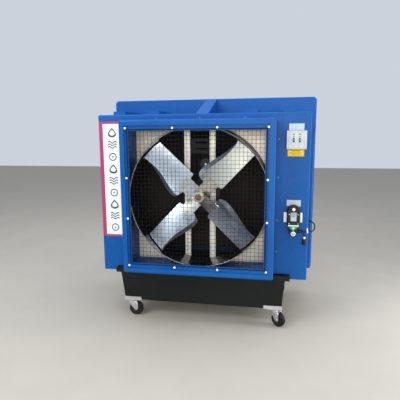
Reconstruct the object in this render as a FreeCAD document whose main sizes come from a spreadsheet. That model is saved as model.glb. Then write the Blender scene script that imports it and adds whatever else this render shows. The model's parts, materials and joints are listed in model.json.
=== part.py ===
"""Portable evaporative cooler: a belt-driven fan in a blue moulded housing on a wheeled water tank.

Frame: millimetres, +Z up, origin on the floor under the middle of the machine. The air leaves
towards -Y, and +X is to the right of someone who faces the outlet.
"""
import FreeCAD, Part
import math
import os
import re

App = FreeCAD
V = App.Vector
doc = App.newDocument("EvaporativeCooler")

# ------------------------------------------------------------------ driving dimensions (mm)
SIZES = {
    # casters and tank
    "wheel_diameter": 101, "wheel_width": 32, "caster_height": 121, "caster_trail": 31,
    "axle_diameter": 10, "kingpin_diameter": 12, "caster_track": 1036, "caster_front": 205,
    "caster_base": 590, "caster_plate": 127, "steel": 4,
    "tank_height": 248, "tank_width": 1160, "tank_front": 162, "tank_depth": 685, "tank_taper": 20,
    "tank_wall": 6, "rim_height": 33, "rim_reach": 30, "seat_gap": 1,
    # shroud, outlet and grille
    "shroud_width": 1000, "shroud_height": 1017, "shroud_depth": 194, "shroud_gap": 17,
    "duct_size": 960, "lip_recess": 14, "lip_thickness": 6, "lip_window": 928, "lip_reach": 26,
    "skin": 7, "mould_radius": 14, "edge_radius": 10,
    "mesh_pitch": 25.4, "wire": 2, "rim_rod": 6, "cap_diameter": 16, "cap_sink": 3,
    # housings
    "body_width": 1443, "body_depth": 516, "body_skirt": 50, "body_crown": 43, "wall": 8,
    "shoulder_reach": 44, "shoulder_depth": 255, "shoulder_top": 127,
    "rear_width": 1590, "rear_depth": 175, "rear_skirt": 120, "rear_crown": 181, "rear_rim": 50,
    "rib_width": 85, "rib_height": 25, "rib_inner": 335, "rib_outer": 580,
    # air mover
    "ring_bore": 927, "ring_sheet": 1.5, "ring_front": 95, "panel_depth": 290, "sheet": 2,
    "fan_diameter": 912, "fan_plane": 142, "blade_sheet": 2, "blade_chord": 270, "hub_diameter": 70,
    "shaft_diameter": 25, "running_gap": 0.05, "fan_pitch_diameter": 200, "motor_pitch_diameter": 70,
    "pulley_rise": 201, "pulley_plane": 425, "pulley_width": 22, "belt_width": 12, "belt_height": 8,
    "motor_diameter": 140, "motor_length": 180, "motor_front": 462, "motor_shaft_diameter": 16,
    "strut_width": 40, "strut_flange": 20, "strut_left": 110, "strut_right": 70, "bracket_sheet": 5,
    # water side
    "pad_width": 304, "pad_thickness": 152, "pad_gap": 1, "pipe_diameter": 33, "riser_diameter": 26,
    "pump_diameter": 96, "pump_height": 120, "pump_depth": 672, "float_diameter": 80,
    "hose_thread_diameter": 26.6, "hose_reach": 46, "hose_flange": 12, "valve_depth": 500,
    # controls on the right wing
    "control_inset": 93.5, "box_width": 124, "box_height": 117, "box_depth": 40, "cover_sheet": 5,
    "control_rise": 375, "toggle_spacing": 37, "label_sheet": 1, "breaker_width": 85,
    "breaker_height": 208, "breaker_depth": 40, "breaker_rise": 70, "lead_diameter": 8, "plug_lead_diameter": 5,
    "banner_width": 178, "banner_height": 813,
    # clearances between separate pieces
    "gap": 0.3,
}
sheet = doc.addObject("Spreadsheet::Sheet", "Sizes")
for row, (alias, value) in enumerate(SIZES.items(), start=1):
    sheet.set("A%d" % row, alias)
    sheet.set("B%d" % row, str(value))
    sheet.setAlias("B%d" % row, alias)
doc.recompute()
WORDS = re.compile(r"\b(" + "|".join(sorted(SIZES, key=len, reverse=True)) + r")\b")

# places shared by several pieces, as expressions in the sheet's words
FRONT = "(-(shroud_depth + body_depth + rear_depth) / 2)"
BODY = "(%s + shroud_depth)" % FRONT
REAR = "(%s + body_depth)" % BODY
BACK = "(-%s)" % FRONT
TANK_BASE = "(caster_height + steel)"
TANK_TOP = "(%s + tank_height)" % TANK_BASE
SHROUD_BASE = "(%s + shroud_gap)" % TANK_TOP
AXIS = "(%s + shroud_height / 2)" % SHROUD_BASE
BODY_BASE = "(%s - body_skirt)" % SHROUD_BASE
BODY_TOP = "(%s + shroud_height + body_crown)" % SHROUD_BASE
REAR_BASE = "(%s - rear_skirt)" % SHROUD_BASE
REAR_TOP = "(%s + shroud_height + rear_crown)" % SHROUD_BASE
DECK = "(%s + seat_gap)" % TANK_TOP
TANK_Y = "(%s + tank_front)" % FRONT
WING = BODY
CONTROL_X = "(body_width / 2 - control_inset)"
BREAKER_X = "(%s - 5)" % CONTROL_X
BREAKER_TOP = "(%s - breaker_rise + 26)" % AXIS


# ------------------------------------------------------------------ helpers
def words(text):
    """An expression in the sheet's words, as FreeCAD wants it."""
    return WORDS.sub(r"Sizes.\1", str(text))


def value(text):
    """The number that such an expression has now, for the pieces made in code."""
    return float(eval_sheet(text))


def eval_sheet(text):
    probe = doc.getObject("Probe") or doc.addObject("App::FeaturePython", "Probe")
    if "Reading" not in probe.PropertiesList:
        probe.addProperty("App::PropertyFloat", "Reading")
    probe.setExpression("Reading", words(text))
    probe.recompute()
    return probe.Reading


def bind(obj, **expressions):
    for name, text in expressions.items():
        obj.setExpression(name, words(text))


def place(obj, x, y, z):
    obj.setExpression("Placement.Base.x", words(x))
    obj.setExpression("Placement.Base.y", words(y))
    obj.setExpression("Placement.Base.z", words(z))
    return obj


def box(x0, x1, y0, y1, z0, z1):
    """A box between two corners, each given as an expression."""
    obj = doc.addObject("Part::Box", "Box")
    bind(obj, Length="(%s) - (%s)" % (x1, x0), Width="(%s) - (%s)" % (y1, y0),
         Height="(%s) - (%s)" % (z1, z0))
    return place(obj, x0, y0, z0)


def wide_box(half, y0, y1, z0, z1):
    """A box that is centred on X."""
    return box("-(%s)" % half, half, y0, y1, z0, z1)


TURNS = {"z": App.Rotation(), "x": App.Rotation(V(0, 1, 0), 90), "y": App.Rotation(V(1, 0, 0), -90)}


def rod(axis, x, y, z, radius, length):
    """A cylinder that starts at a point and runs along +axis."""
    obj = doc.addObject("Part::Cylinder", "Rod")
    obj.Placement.Rotation = TURNS[axis]
    bind(obj, Radius=radius, Height=length)
    return place(obj, x, y, z)


def cone(axis, x, y, z, radius1, radius2, length):
    obj = doc.addObject("Part::Cone", "Cone")
    obj.Placement.Rotation = TURNS[axis]
    bind(obj, Radius1=radius1, Radius2=radius2, Height=length)
    return place(obj, x, y, z)


def hoop(axis, x, y, z, radius1, radius2):
    obj = doc.addObject("Part::Torus", "Hoop")
    obj.Placement.Rotation = TURNS[axis]
    bind(obj, Radius1=radius1, Radius2=radius2)
    return place(obj, x, y, z)


def fuse(*parts):
    obj = doc.addObject("Part::MultiFuse", "Fuse")
    obj.Shapes = list(parts)
    return obj


def cut(base, *tools):
    obj = doc.addObject("Part::Cut", "Cut")
    obj.Base = base
    obj.Tool = tools[0] if len(tools) == 1 else fuse(*tools)
    return obj


def group(*parts):
    obj = doc.addObject("Part::Compound", "Group")
    obj.Links = list(parts)
    return obj


def rounded(base, radius, test):
    """Round the edges of a piece that pass a test, with a radius read from the sheet."""
    doc.recompute()
    size = value(radius)
    edges = [(i, size, size) for i, edge in enumerate(base.Shape.Edges, start=1) if test(edge)]
    obj = doc.addObject("Part::Fillet", "Rounded")
    obj.Base = base
    obj.Edges = edges
    return obj


def straight_along(edge, axis):
    """True when a straight edge runs along an axis."""
    if edge.Curve.TypeId != "Part::GeomLine":
        return False
    step = edge.Vertexes[-1].Point - edge.Vertexes[0].Point
    return abs(getattr(step.normalize(), axis)) > 0.999


def shape_piece(shape):
    obj = doc.addObject("Part::Feature", "Shape")
    obj.Shape = shape
    return obj


NODES = []


def node(label, obj):
    """Give a finished piece the name that its file has."""
    obj.Label = label
    NODES.append(obj)
    return obj


def middle(edge):
    return edge.CenterOfMass


# ------------------------------------------------------------------ fan shroud
def make_shroud():
    half_w, half_h = "shroud_width / 2", "shroud_height / 2"
    low, high = SHROUD_BASE, "%s + shroud_height" % SHROUD_BASE
    duct = "duct_size / 2"
    back = value(BODY)
    shell = rounded(wide_box(half_w, FRONT, BODY, low, high), "mould_radius",
                    lambda e: middle(e).y < back - 1)
    lip_back = "%s + lip_recess + lip_thickness" % FRONT
    bore = wide_box(duct, lip_back, "%s + 1" % BODY, "%s - %s" % (AXIS, duct), "%s + %s" % (AXIS, duct))
    window = wide_box("lip_window / 2", "%s - 1" % FRONT, "%s + lip_recess" % FRONT,
                      "%s - lip_window / 2 - (shroud_height - shroud_width) / 2" % AXIS,
                      "%s + lip_window / 2 + (shroud_height - shroud_width) / 2" % AXIS)
    reach = "(lip_window / 2 - lip_reach)"
    outlet = wide_box(reach, "%s - 1" % FRONT, "%s + 1" % lip_back,
                      "%s - %s" % (AXIS, reach), "%s + %s" % (AXIS, reach))
    pocket_outer = wide_box("%s - skin" % half_w, "%s + 4 * skin" % FRONT, "%s + 1" % BODY,
                            "%s + skin" % low, "%s - skin" % high)
    pocket_inner = wide_box("%s + skin" % duct, "%s" % FRONT, "%s + 2" % BODY,
                            "%s - %s - skin" % (AXIS, duct), "%s + %s + skin" % (AXIS, duct))
    flange_outer = wide_box("%s + 5 * skin" % half_w, "%s - skin + 1" % BODY, BODY, low, "%s + 4 * skin" % high)
    flange_inner = wide_box("%s - skin / 2" % half_w, "%s - skin" % BODY, "%s + 1" % BODY,
                            "%s - 1" % low, "%s - skin / 2" % high)
    body = cut(shell, bore, window, outlet, cut(pocket_outer, pocket_inner))
    node("fan_shroud", fuse(body, cut(flange_outer, flange_inner)))


# ------------------------------------------------------------------ grille
def make_grille():
    rim = "(lip_window / 2 - lip_reach + 1.5 * rim_rod)"
    rim_y = "(%s + lip_recess - rim_rod / 2 - gap / 3)" % FRONT
    bars = []
    for side in (-1, 1):
        bars.append(rod("z", "%d * %s" % (side, rim), rim_y, "%s - %s" % (AXIS, rim), "rim_rod / 2",
                        "2 * %s" % rim))
        bars.append(rod("x", "-%s" % rim, rim_y, "%s + %d * %s" % (AXIS, side, rim), "rim_rod / 2",
                        "2 * %s" % rim))
        for end in (-1, 1):
            ball = doc.addObject("Part::Sphere", "Corner")
            bind(ball, Radius="rim_rod / 2")
            bars.append(place(ball, "%d * %s" % (side, rim), rim_y, "%s + %d * %s" % (AXIS, end, rim)))
    node("grille_frame", fuse(*bars))

    upright_y = "(%s - rim_rod / 2 - wire / 2 - gap / 3)" % rim_y
    level_y = "(%s + wire + gap / 3)" % upright_y
    count = int(value("%s - rim_rod" % rim) // value("mesh_pitch"))
    wires = []
    for i in range(-count, count + 1):
        wires.append(rod("z", "%d * mesh_pitch" % i, upright_y, "%s - %s" % (AXIS, rim), "wire / 2",
                         "2 * %s" % rim))
        wires.append(rod("x", "-(%s - rim_rod / 2 - gap / 3)" % rim, level_y,
                         "%s + %d * mesh_pitch" % (AXIS, i), "wire / 2",
                         "2 * (%s - rim_rod / 2 - gap / 3)" % rim))
    node("grille_wires", group(*wires))

    caps = []
    side = "(%s + rim_rod / 2 + 0.34 * cap_diameter)" % rim
    spots = [(x, z) for z in (-1, 1) for x in (-1, -0.314, 0.314, 1)]
    spots += [(x, z) for x in (-1, 1) for z in (-0.295, 0.295)]
    for x, z in spots:
        px, pz = "%g * %s" % (x, side), "%s + %g * %s" % (AXIS, z, side)
        head = doc.addObject("Part::Sphere", "Cap")
        head.Placement.Rotation = App.Rotation(V(1, 0, 0), 90)
        head.Angle1 = 0
        bind(head, Radius="cap_diameter / 2")
        seat = "(%s - wire / 2 - gap)" % upright_y
        place(head, px, "%s + cap_sink" % seat, pz)
        behind = box("%s - cap_diameter" % px, "%s + cap_diameter" % px, seat, "%s + cap_diameter" % seat,
                     "%s - cap_diameter" % pz, "%s + cap_diameter" % pz)
        shank = rod("y", px, seat, pz, "cap_diameter / 6", "%s + lip_recess - %s" % (FRONT, seat))
        caps.append(fuse(cut(head, behind), shank))
    node("grille_bolts", group(*caps))


# ------------------------------------------------------------------ main housing
def make_main_housing():
    half = "body_width / 2"
    rear_y = value(REAR)
    outer = rounded(wide_box(half, BODY, REAR, BODY_BASE, BODY_TOP), "edge_radius",
                    lambda e: middle(e).y < rear_y - 1 and middle(e).z > value(BODY_BASE) + 1)
    shoulder = "(%s - shoulder_depth)" % REAR
    shoulder_high = "(%s - shoulder_top)" % BODY_TOP
    solids = [outer]
    hollow = [wide_box("%s - wall" % half, "%s + wall" % BODY, "%s + 1" % REAR, "%s - 1" % BODY_BASE,
                       "%s - wall" % BODY_TOP)]
    solids.append(rounded(wide_box("%s + shoulder_reach" % half, shoulder, REAR, BODY_BASE, shoulder_high),
                          "edge_radius", lambda e: middle(e).y < rear_y - 1 and abs(middle(e).x) > 1
                          and (straight_along(e, "z") or middle(e).z > value(shoulder_high) - 1)))
    hollow.append(wide_box("%s + shoulder_reach - wall" % half, "%s + wall" % shoulder, "%s + 1" % REAR,
                           "%s - 1" % BODY_BASE, "%s - wall" % shoulder_high))
    for x in ("rib_inner", "rib_outer"):
        for sign in (-1, 1):
            solids.append(box("%d * %s - rib_width / 2" % (sign, x), "%d * %s + rib_width / 2" % (sign, x),
                              "%s + 3 * mould_radius" % BODY, REAR, "%s - wall" % BODY_TOP,
                              "%s + rib_height" % BODY_TOP))
    for x, inset, store in (("0", "0", solids), ("0", "wall", hollow)):
        wedge = doc.addObject("Part::Wedge", "Gusset")
        wedge.Placement.Rotation = App.Rotation(V(1, 0, 0), 90)
        bind(wedge, Xmin="-(rib_width / 2 - %s)" % inset, Xmax="rib_width / 2 - %s" % inset,
             X2min="-(rib_width / 2 - %s)" % inset, X2max="rib_width / 2 - %s" % inset,
             Ymin="0", Ymax="rear_crown - body_crown - 3 + wall + (wall - 2 * %s)" % inset,
             Zmin="-body_depth * 0.98", Zmax="0", Z2min="-body_depth * 0.98", Z2max="-body_depth * 0.97")
        place(wedge, x, "%s + 0.02 * body_depth" % BODY if inset == "0" else
              "%s + 0.02 * body_depth + 4 * wall" % BODY, "%s - 2 * wall" % BODY_TOP)
        store.append(wedge)
    shell = cut(fuse(*solids), *hollow)
    duct = "duct_size / 2"
    panel_y = "(%s + panel_depth)" % FRONT
    sleeve = wide_box("%s + wall" % duct, "%s" % BODY, panel_y, "%s - %s - wall" % (AXIS, duct),
                      "%s + %s + wall" % (AXIS, duct))
    collar = wide_box("%s + 3 * wall" % duct, "%s - wall" % panel_y, panel_y,
                      "%s - %s - 3 * wall" % (AXIS, duct), "%s + %s + 3 * wall" % (AXIS, duct))
    bore = wide_box(duct, "%s - 1" % BODY, "%s + 1" % panel_y, "%s - %s" % (AXIS, duct),
                    "%s + %s" % (AXIS, duct))
    deck = cut(wide_box("%s - wall / 2" % half, "%s + wall / 2" % BODY, REAR, DECK, "%s + wall" % DECK),
               wide_box("tank_width / 2 - wall", "%s + 4 * wall" % BODY, "%s - wall" % REAR,
                        "%s - 1" % DECK, "%s + wall + 1" % DECK))
    notch = wide_box("tank_width / 2 + rim_reach + 2 * gap", "%s - 1" % BODY, "%s + wall + 1" % BODY,
                     "%s - 1" % BODY_BASE, DECK)
    node("main_housing", cut(fuse(shell, sleeve, collar, deck), bore, notch))


# ------------------------------------------------------------------ rear (pad) housing
def make_rear_housing():
    half = "rear_width / 2"
    outer = rounded(wide_box(half, REAR, BACK, REAR_BASE, REAR_TOP), "2 * mould_radius",
                    lambda e: straight_along(e, "y") and middle(e).z > value(REAR_TOP) - 1)
    outer = rounded(outer, "mould_radius / 2",
                    lambda e: abs(middle(e).y) > value(BACK) - 1 or middle(e).y < value(REAR) + 1
                    if middle(e).z > value(REAR_BASE) + 1 else False)
    cavity = wide_box("%s - wall" % half, "%s + wall" % REAR, "%s - wall" % BACK, "%s - 1" % REAR_BASE,
                      "%s - wall" % REAR_TOP)
    front = wide_box("body_width / 2 - 2 * wall", "%s - 1" % REAR, "%s + 2 * wall" % REAR,
                     "%s + wall" % DECK, "%s - 2 * wall" % BODY_TOP)
    tank_way = wide_box("tank_width / 2 + rim_reach + 2 * gap", "%s - 1" % REAR, "%s + 2 * wall" % REAR,
                        "%s - 1" % REAR_BASE, DECK)
    intake = wide_box("%s - rear_rim" % half, "%s - 2 * wall" % BACK, "%s + 1" % BACK,
                      "%s + rear_rim / 2" % DECK, "%s - 1.2 * rear_rim" % REAR_TOP)
    riser_way = rod("y", "0", "%s - 1" % REAR, "%s - wall - pipe_diameter" % REAR_TOP,
                    "riser_diameter / 2 + gap", "3 * wall")
    shelf = cut(wide_box("%s - wall / 2" % half, "%s + wall / 2" % REAR, "%s - wall / 2" % BACK, DECK,
                         "%s + wall" % DECK),
                *[box("%d * pad_width - pad_width / 3" % i, "%d * pad_width + pad_width / 3" % i,
                      "%s + 5 * wall" % REAR, "%s - 5 * wall" % BACK, "%s - 1" % DECK,
                      "%s + wall + 1" % DECK) for i in range(-2, 3)])
    shell = cut(outer, cavity, front, tank_way, intake, riser_way)
    node("rear_housing", fuse(shell, shelf))


# ------------------------------------------------------------------ tank
def tapered(inset, low, high):
    """A block that widens upwards, on the tank's slope, with its sides set in by a wall."""
    obj = doc.addObject("Part::Wedge", "Taper")
    obj.Placement.Rotation = App.Rotation(V(1, 0, 0), 90)
    lean_low = "tank_taper * (1 - (%s) / (tank_height - rim_height))" % low
    lean_high = "tank_taper * (1 - (%s) / (tank_height - rim_height))" % high
    bind(obj, Xmin="-(tank_width / 2 - %s - %s)" % (lean_low, inset),
         Xmax="tank_width / 2 - %s - %s" % (lean_low, inset),
         X2min="-(tank_width / 2 - %s - %s)" % (lean_high, inset),
         X2max="tank_width / 2 - %s - %s" % (lean_high, inset),
         Ymin=low, Ymax=high,
         Zmin="-(tank_depth - %s - %s)" % (lean_low, inset), Zmax="-(%s + %s)" % (lean_low, inset),
         Z2min="-(tank_depth - %s - %s)" % (lean_high, inset), Z2max="-(%s + %s)" % (lean_high, inset))
    return place(obj, "0", TANK_Y, TANK_BASE)


def make_tank():
    rim = wide_box("tank_width / 2 + rim_reach", "%s - rim_reach / 2" % TANK_Y,
                   "%s + tank_depth + rim_reach / 2" % TANK_Y, "%s - rim_height" % TANK_TOP, TANK_TOP)
    rim_hollow = wide_box("tank_width / 2 - tank_wall", "%s + tank_wall" % TANK_Y,
                          "%s + tank_depth - tank_wall" % TANK_Y, "%s - rim_height - 1" % TANK_TOP,
                          "%s + 1" % TANK_TOP)
    body = cut(tapered("0", "0", "tank_height - rim_height + 1"),
               tapered("tank_wall", "tank_wall", "tank_height - rim_height + 2"))
    inlet_z = "%s - rim_height - 1.3 * hose_thread_diameter" % TANK_TOP
    spigot = "(hose_thread_diameter / 2 - 1)"
    inlet = rod("x", "-tank_width", "%s + valve_depth" % FRONT, inlet_z, "%s + gap" % spigot, "tank_width")
    drain = rod("x", "0", "%s + tank_depth - 5 * rim_reach" % TANK_Y, "%s + rim_reach + tank_wall" % TANK_BASE,
                "hose_thread_diameter / 2 + gap", "tank_width")
    node("tank", cut(fuse(cut(rim, rim_hollow), body), inlet, drain))
    # supply fitting, screwed through the wall, and the float valve on its inner end
    wall_x = "(-(tank_width / 2 - 1.3))"
    fitting = fuse(rod("x", "%s - hose_reach" % wall_x, "%s + valve_depth" % FRONT, inlet_z,
                       "hose_thread_diameter / 2", "hose_reach"),
                   rod("x", "%s - 1" % wall_x, "%s + valve_depth" % FRONT, inlet_z, spigot,
                       "1 + 2 * tank_wall"),
                   rod("x", "%s - hose_flange" % wall_x, "%s + valve_depth" % FRONT, inlet_z,
                       "hose_thread_diameter * 0.72", "hose_flange"))
    bore = rod("x", "%s - 2 * hose_reach" % wall_x, "%s + valve_depth" % FRONT, inlet_z,
               "hose_thread_diameter / 3", "3 * hose_reach")
    node("hose_inlet", cut(fitting, bore))
    valve_x = "(%s + 2 * tank_wall)" % wall_x
    block = box(valve_x, "%s + 26" % valve_x, "%s + valve_depth - 18" % FRONT,
                "%s + valve_depth + 18" % FRONT, "%s - 22" % inlet_z, "%s + 18" % inlet_z)
    pivot = rod("y", "%s + 34" % valve_x, "%s + valve_depth - 18" % FRONT, "%s - 12" % inlet_z, "3", "36")
    ears = [box("%s + 25" % valve_x, "%s + 40" % valve_x, "%s + valve_depth %+d" % (FRONT, y),
                "%s + valve_depth %+d" % (FRONT, y + 4), "%s - 18" % inlet_z, "%s - 6" % inlet_z)
            for y in (-18, 14)]
    node("float_valve", fuse(block, pivot, *ears))
    drop = math.radians(32)
    reach = 150
    arm_x, arm_z = value("%s + 34" % valve_x), value("%s - 12" % inlet_z)
    arm_y = value("%s + valve_depth" % FRONT)
    eye = Part.makeCylinder(7, 12, V(arm_x, arm_y - 6, arm_z), V(0, 1, 0))
    way = V(math.cos(drop), 0, -math.sin(drop))
    stem = Part.makeCylinder(2.5, reach, V(arm_x, arm_y, arm_z), way)
    ball = Part.makeSphere(value("float_diameter") / 2, V(arm_x, arm_y, arm_z) + way * reach)
    hole = Part.makeCylinder(3 + value("running_gap"), 40, V(arm_x, arm_y - 20, arm_z), V(0, 1, 0))
    node("float_arm", shape_piece(eye.fuse(stem).fuse(ball).cut(hole)))
    plug_y = "%s + tank_depth - 5 * rim_reach" % TANK_Y
    plug_z = "%s + rim_reach + tank_wall" % TANK_BASE
    node("drain_plug", fuse(rod("x", "tank_width / 2 - tank_taper - 2 * tank_wall", plug_y, plug_z,
                                "hose_thread_diameter / 2", "2 * tank_wall + tank_taper"),
                            rod("x", "tank_width / 2 - tank_taper * 0.73", plug_y, plug_z,
                                "hose_thread_diameter * 0.7", "12")))


# ------------------------------------------------------------------ orifice panel, ring and struts
def make_outlet():
    panel_y = "(%s + panel_depth)" % FRONT
    half = "(duct_size / 2 + 3 * wall)"
    panel = cut(wide_box(half, panel_y, "%s + sheet" % panel_y, "%s - %s" % (AXIS, half),
                         "%s + %s" % (AXIS, half)),
                rod("y", "0", "%s - 1" % panel_y, AXIS, "ring_bore / 2 + ring_sheet + gap", "sheet + 2"))
    node("orifice_panel", panel)
    ring_y = "(%s + ring_front)" % FRONT
    ring = fuse(rod("y", "0", ring_y, AXIS, "ring_bore / 2 + ring_sheet", "panel_depth + sheet - ring_front"),
                rod("y", "0", "%s - ring_sheet" % panel_y, AXIS, "duct_size / 2 - 2", "ring_sheet"),
                hoop("y", "0", ring_y, AXIS, "ring_bore / 2 + 3 * ring_sheet", "3 * ring_sheet"))
    ring_way = rod("y", "0", "%s - 20" % ring_y, AXIS, "ring_bore / 2", "panel_depth + 40")
    node("venturi_ring", cut(ring, ring_way))
    rivets = []
    for sx in (-1, 1):
        for sz in (-1, 1):
            for fx, fz in ((0.83, 0.93), (0.9, 0.83)):
                rivets.append(rod("y", "%g * duct_size / 2" % (sx * fx), "%s - 2" % panel_y,
                                  "%s + %g * duct_size / 2" % (AXIS, sz * fz), "5", "2"))
    node("panel_rivets", group(*rivets))
    channels = []
    for name, sign in (("strut_left", -1), ("strut_right", 1)):
        x = "(%d * %s)" % (sign, name)
        y = "(%s + sheet)" % panel_y
        channel = cut(box("%s - strut_width / 2" % x, "%s + strut_width / 2" % x, y, "%s + strut_flange" % y,
                          "%s - %s" % (AXIS, half), "%s + %s" % (AXIS, half)),
                      box("%s - strut_width / 2 + sheet" % x, "%s + strut_width / 2 - sheet" % x,
                          "%s + sheet" % y, "%s + strut_flange + 1" % y,
                          "%s - %s - 1" % (AXIS, half), "%s + %s + 1" % (AXIS, half)))
        channels.append(channel)
    node("struts", group(*channels))
    make_screws()


def make_screws():
    """Pan heads that hold the shroud's flange and the two housings together."""
    heads = []
    flange_x = "(shroud_width / 2 + 2.6 * skin)"
    for share in (-0.36, -0.15, 0.13, 0.375):
        for sign in (-1, 1):
            heads.append(rod("y", "%d * %s" % (sign, flange_x), "%s - skin - 3" % WING,
                             "%s + %g * shroud_height" % (AXIS, share), "5", "3"))
    for share in (-0.3, 0, 0.3):
        heads.append(rod("y", "%g * shroud_width" % share, "%s - skin - 3" % WING,
                         "%s + shroud_height + 1.8 * skin" % SHROUD_BASE, "5", "3"))
    node("housing_screws", group(*heads))


# ------------------------------------------------------------------ fan
def blade_section(radius, chord, pitch, camber, thickness, set_back=0):
    """One closed outline across a blade: a cambered strip, square to the blade's length (X)."""
    def arc(offset):
        ends = [V(radius, offset, s * chord / 2) for s in (-1, 1)]
        return ends[0], V(radius, camber + offset, 0), ends[1]
    low, high = arc(set_back), arc(set_back + thickness)
    wire = Part.Wire([Part.Arc(*low).toShape(), Part.LineSegment(low[2], high[2]).toShape(),
                      Part.Arc(high[2], high[1], high[0]).toShape(),
                      Part.LineSegment(high[0], low[0]).toShape()])
    wire.rotate(V(0, 0, 0), V(1, 0, 0), pitch)
    return wire


BLADE_ANGLES = [46.5 + 90 * i for i in range(4)]
ROOT_PITCH, TIP_PITCH = 33, 23
CAMBER, PETAL_WIDTH, PETAL_CORNER = 14, 112, 24
# the leading edge from beyond the tip to the root, as shares of the tip radius and of the chord: wide at
# the tip, waisted inside it and widest over the root; then the inner end of the straight trailing edge
LEADING_EDGE = [(1.03, 0.30), (0.93, 0.258), (0.85, 0.252), (0.73, 0.287), (0.57, 0.355), (0.40, 0.413),
                (0.29, 0.405), (0.235, 0.33), (0.222, 0.20)]
ROOT = (0.30, -0.272)


def make_fan():
    axis_z, front = value(AXIS), value(FRONT)
    plane = front + value("fan_plane")
    chord, sheet_mm = value("blade_chord"), value("blade_sheet")
    tip = value("fan_diameter") / 2
    blade = Part.makeLoft([blade_section(r * tip, chord * c, p, CAMBER, sheet_mm) for r, c, p in
                           ((0.2, 1, ROOT_PITCH), (0.35, 1, ROOT_PITCH),
                            (0.65, 1, (ROOT_PITCH + TIP_PITCH) / 2), (1.02, 0.94, TIP_PITCH))], True, True)
    edge = Part.BSplineCurve()
    edge.interpolate([V(r * tip, -200, s * chord) for r, s in LEADING_EDGE])
    last, first = V(ROOT[0] * tip, -200, ROOT[1] * chord), V(1.03 * tip, -200, ROOT[1] * chord)
    rim = [edge.toShape(), Part.LineSegment(edge.EndPoint, last).toShape(),
           Part.LineSegment(last, first).toShape(), Part.LineSegment(first, edge.StartPoint).toShape()]
    blade = blade.common(Part.Face(Part.Wire(rim)).extrude(V(0, 400, 0)))
    blade = blade.common(Part.makeCylinder(tip, 400, V(0, -200, 0), V(0, 1, 0)))
    reach = 0.34 * tip
    half = PETAL_WIDTH / 2
    share = (PETAL_WIDTH / chord) ** 2
    set_back = CAMBER * (1 - share) - 3 - value("gap") / 2
    petal = Part.makeLoft([blade_section(r, PETAL_WIDTH, ROOT_PITCH, CAMBER * share, 3, set_back)
                           for r in (0.5 * value("hub_diameter") - 8, 1.05 * reach)], True, True)
    shown = half * math.cos(math.radians(ROOT_PITCH))
    outline = Part.makeBox(2 * reach, 400, 2 * shown, V(-reach, -200, -shown))
    corners = [e for e in outline.Edges if straight_along(e, "y") and middle(e).x > 0]
    petal = petal.common(outline.makeFillet(PETAL_CORNER, corners))
    blades, petals, rivets = [], [], []
    for angle in BLADE_ANGLES:
        spin = App.Placement(V(0, plane, axis_z), App.Rotation(V(0, 1, 0), -angle))
        blades.append(blade.transformed(spin.toMatrix()))
        petals.append(petal.transformed(spin.toMatrix()))
        for z in (-0.5 * half, 0, 0.5 * half):
            face = set_back + CAMBER * share * (1 - (z / half) ** 2)
            slope = math.degrees(math.atan(2 * CAMBER * share * z / half ** 2))
            pin = Part.makeCylinder(4, 2.5, V(0, -2.53, 0), V(0, 1, 0))
            pin.rotate(V(0, 0, 0), V(1, 0, 0), slope)
            pin.translate(V(0.31 * tip, face, z))
            pin.rotate(V(0, 0, 0), V(1, 0, 0), ROOT_PITCH)
            rivets.append(pin.transformed(spin.toMatrix()))
    node("fan_blades", shape_piece(Part.makeCompound(blades)))
    hub_r, shaft_r = value("hub_diameter") / 2, value("shaft_diameter") / 2
    boss = Part.makeCylinder(hub_r, 52, V(0, plane - 22, axis_z), V(0, 1, 0))
    hole = Part.makeCylinder(shaft_r + value("running_gap"), 400, V(0, front, axis_z), V(0, 1, 0))
    hub = boss.multiFuse(petals).cut(hole)
    node("fan_hub", shape_piece(hub))
    node("blade_rivets", shape_piece(Part.makeCompound(rivets)))
    node("fan_shaft", rod("y", "0", "%s + fan_plane - 26" % FRONT, AXIS, "shaft_diameter / 2",
                          "pulley_plane - fan_plane + 116"))


def pulley(z, plane, pitch_radius, bore_radius):
    """A V-belt pulley: a disc with a groove that clears the belt, and a bore for its shaft."""
    disc = rod("y", "0", "%s - pulley_width / 2" % plane, z, "%s + belt_height / 2 + 1" % pitch_radius,
               "pulley_width")
    groove = cut(rod("y", "0", "%s - belt_width / 2 - 1" % plane, z, "%s + belt_height" % pitch_radius,
                     "belt_width + 2"),
                 rod("y", "0", "%s - belt_width" % plane, z, "%s - belt_height / 2 - 1" % pitch_radius,
                     "2 * belt_width"))
    return cut(disc, groove, rod("y", "0", "%s - pulley_width" % plane, z, "%s + running_gap" % bore_radius,
                                 "2 * pulley_width"))


def belt_loop(low_r, high_r, rise):
    """The outline round two pulleys, one above the other, as a face in the XZ plane."""
    lean = math.asin((low_r - high_r) / rise)
    sx, sz = math.cos(lean), math.sin(lean)
    right_low, right_high = V(low_r * sx, 0, low_r * sz), V(high_r * sx, 0, rise + high_r * sz)
    left_low, left_high = V(-low_r * sx, 0, low_r * sz), V(-high_r * sx, 0, rise + high_r * sz)
    edges = [Part.LineSegment(right_low, right_high).toShape(),
             Part.Arc(right_high, V(0, 0, rise + high_r), left_high).toShape(),
             Part.LineSegment(left_high, left_low).toShape(),
             Part.Arc(left_low, V(0, 0, -low_r), right_low).toShape()]
    return Part.Face(Part.Wire(edges))


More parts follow.
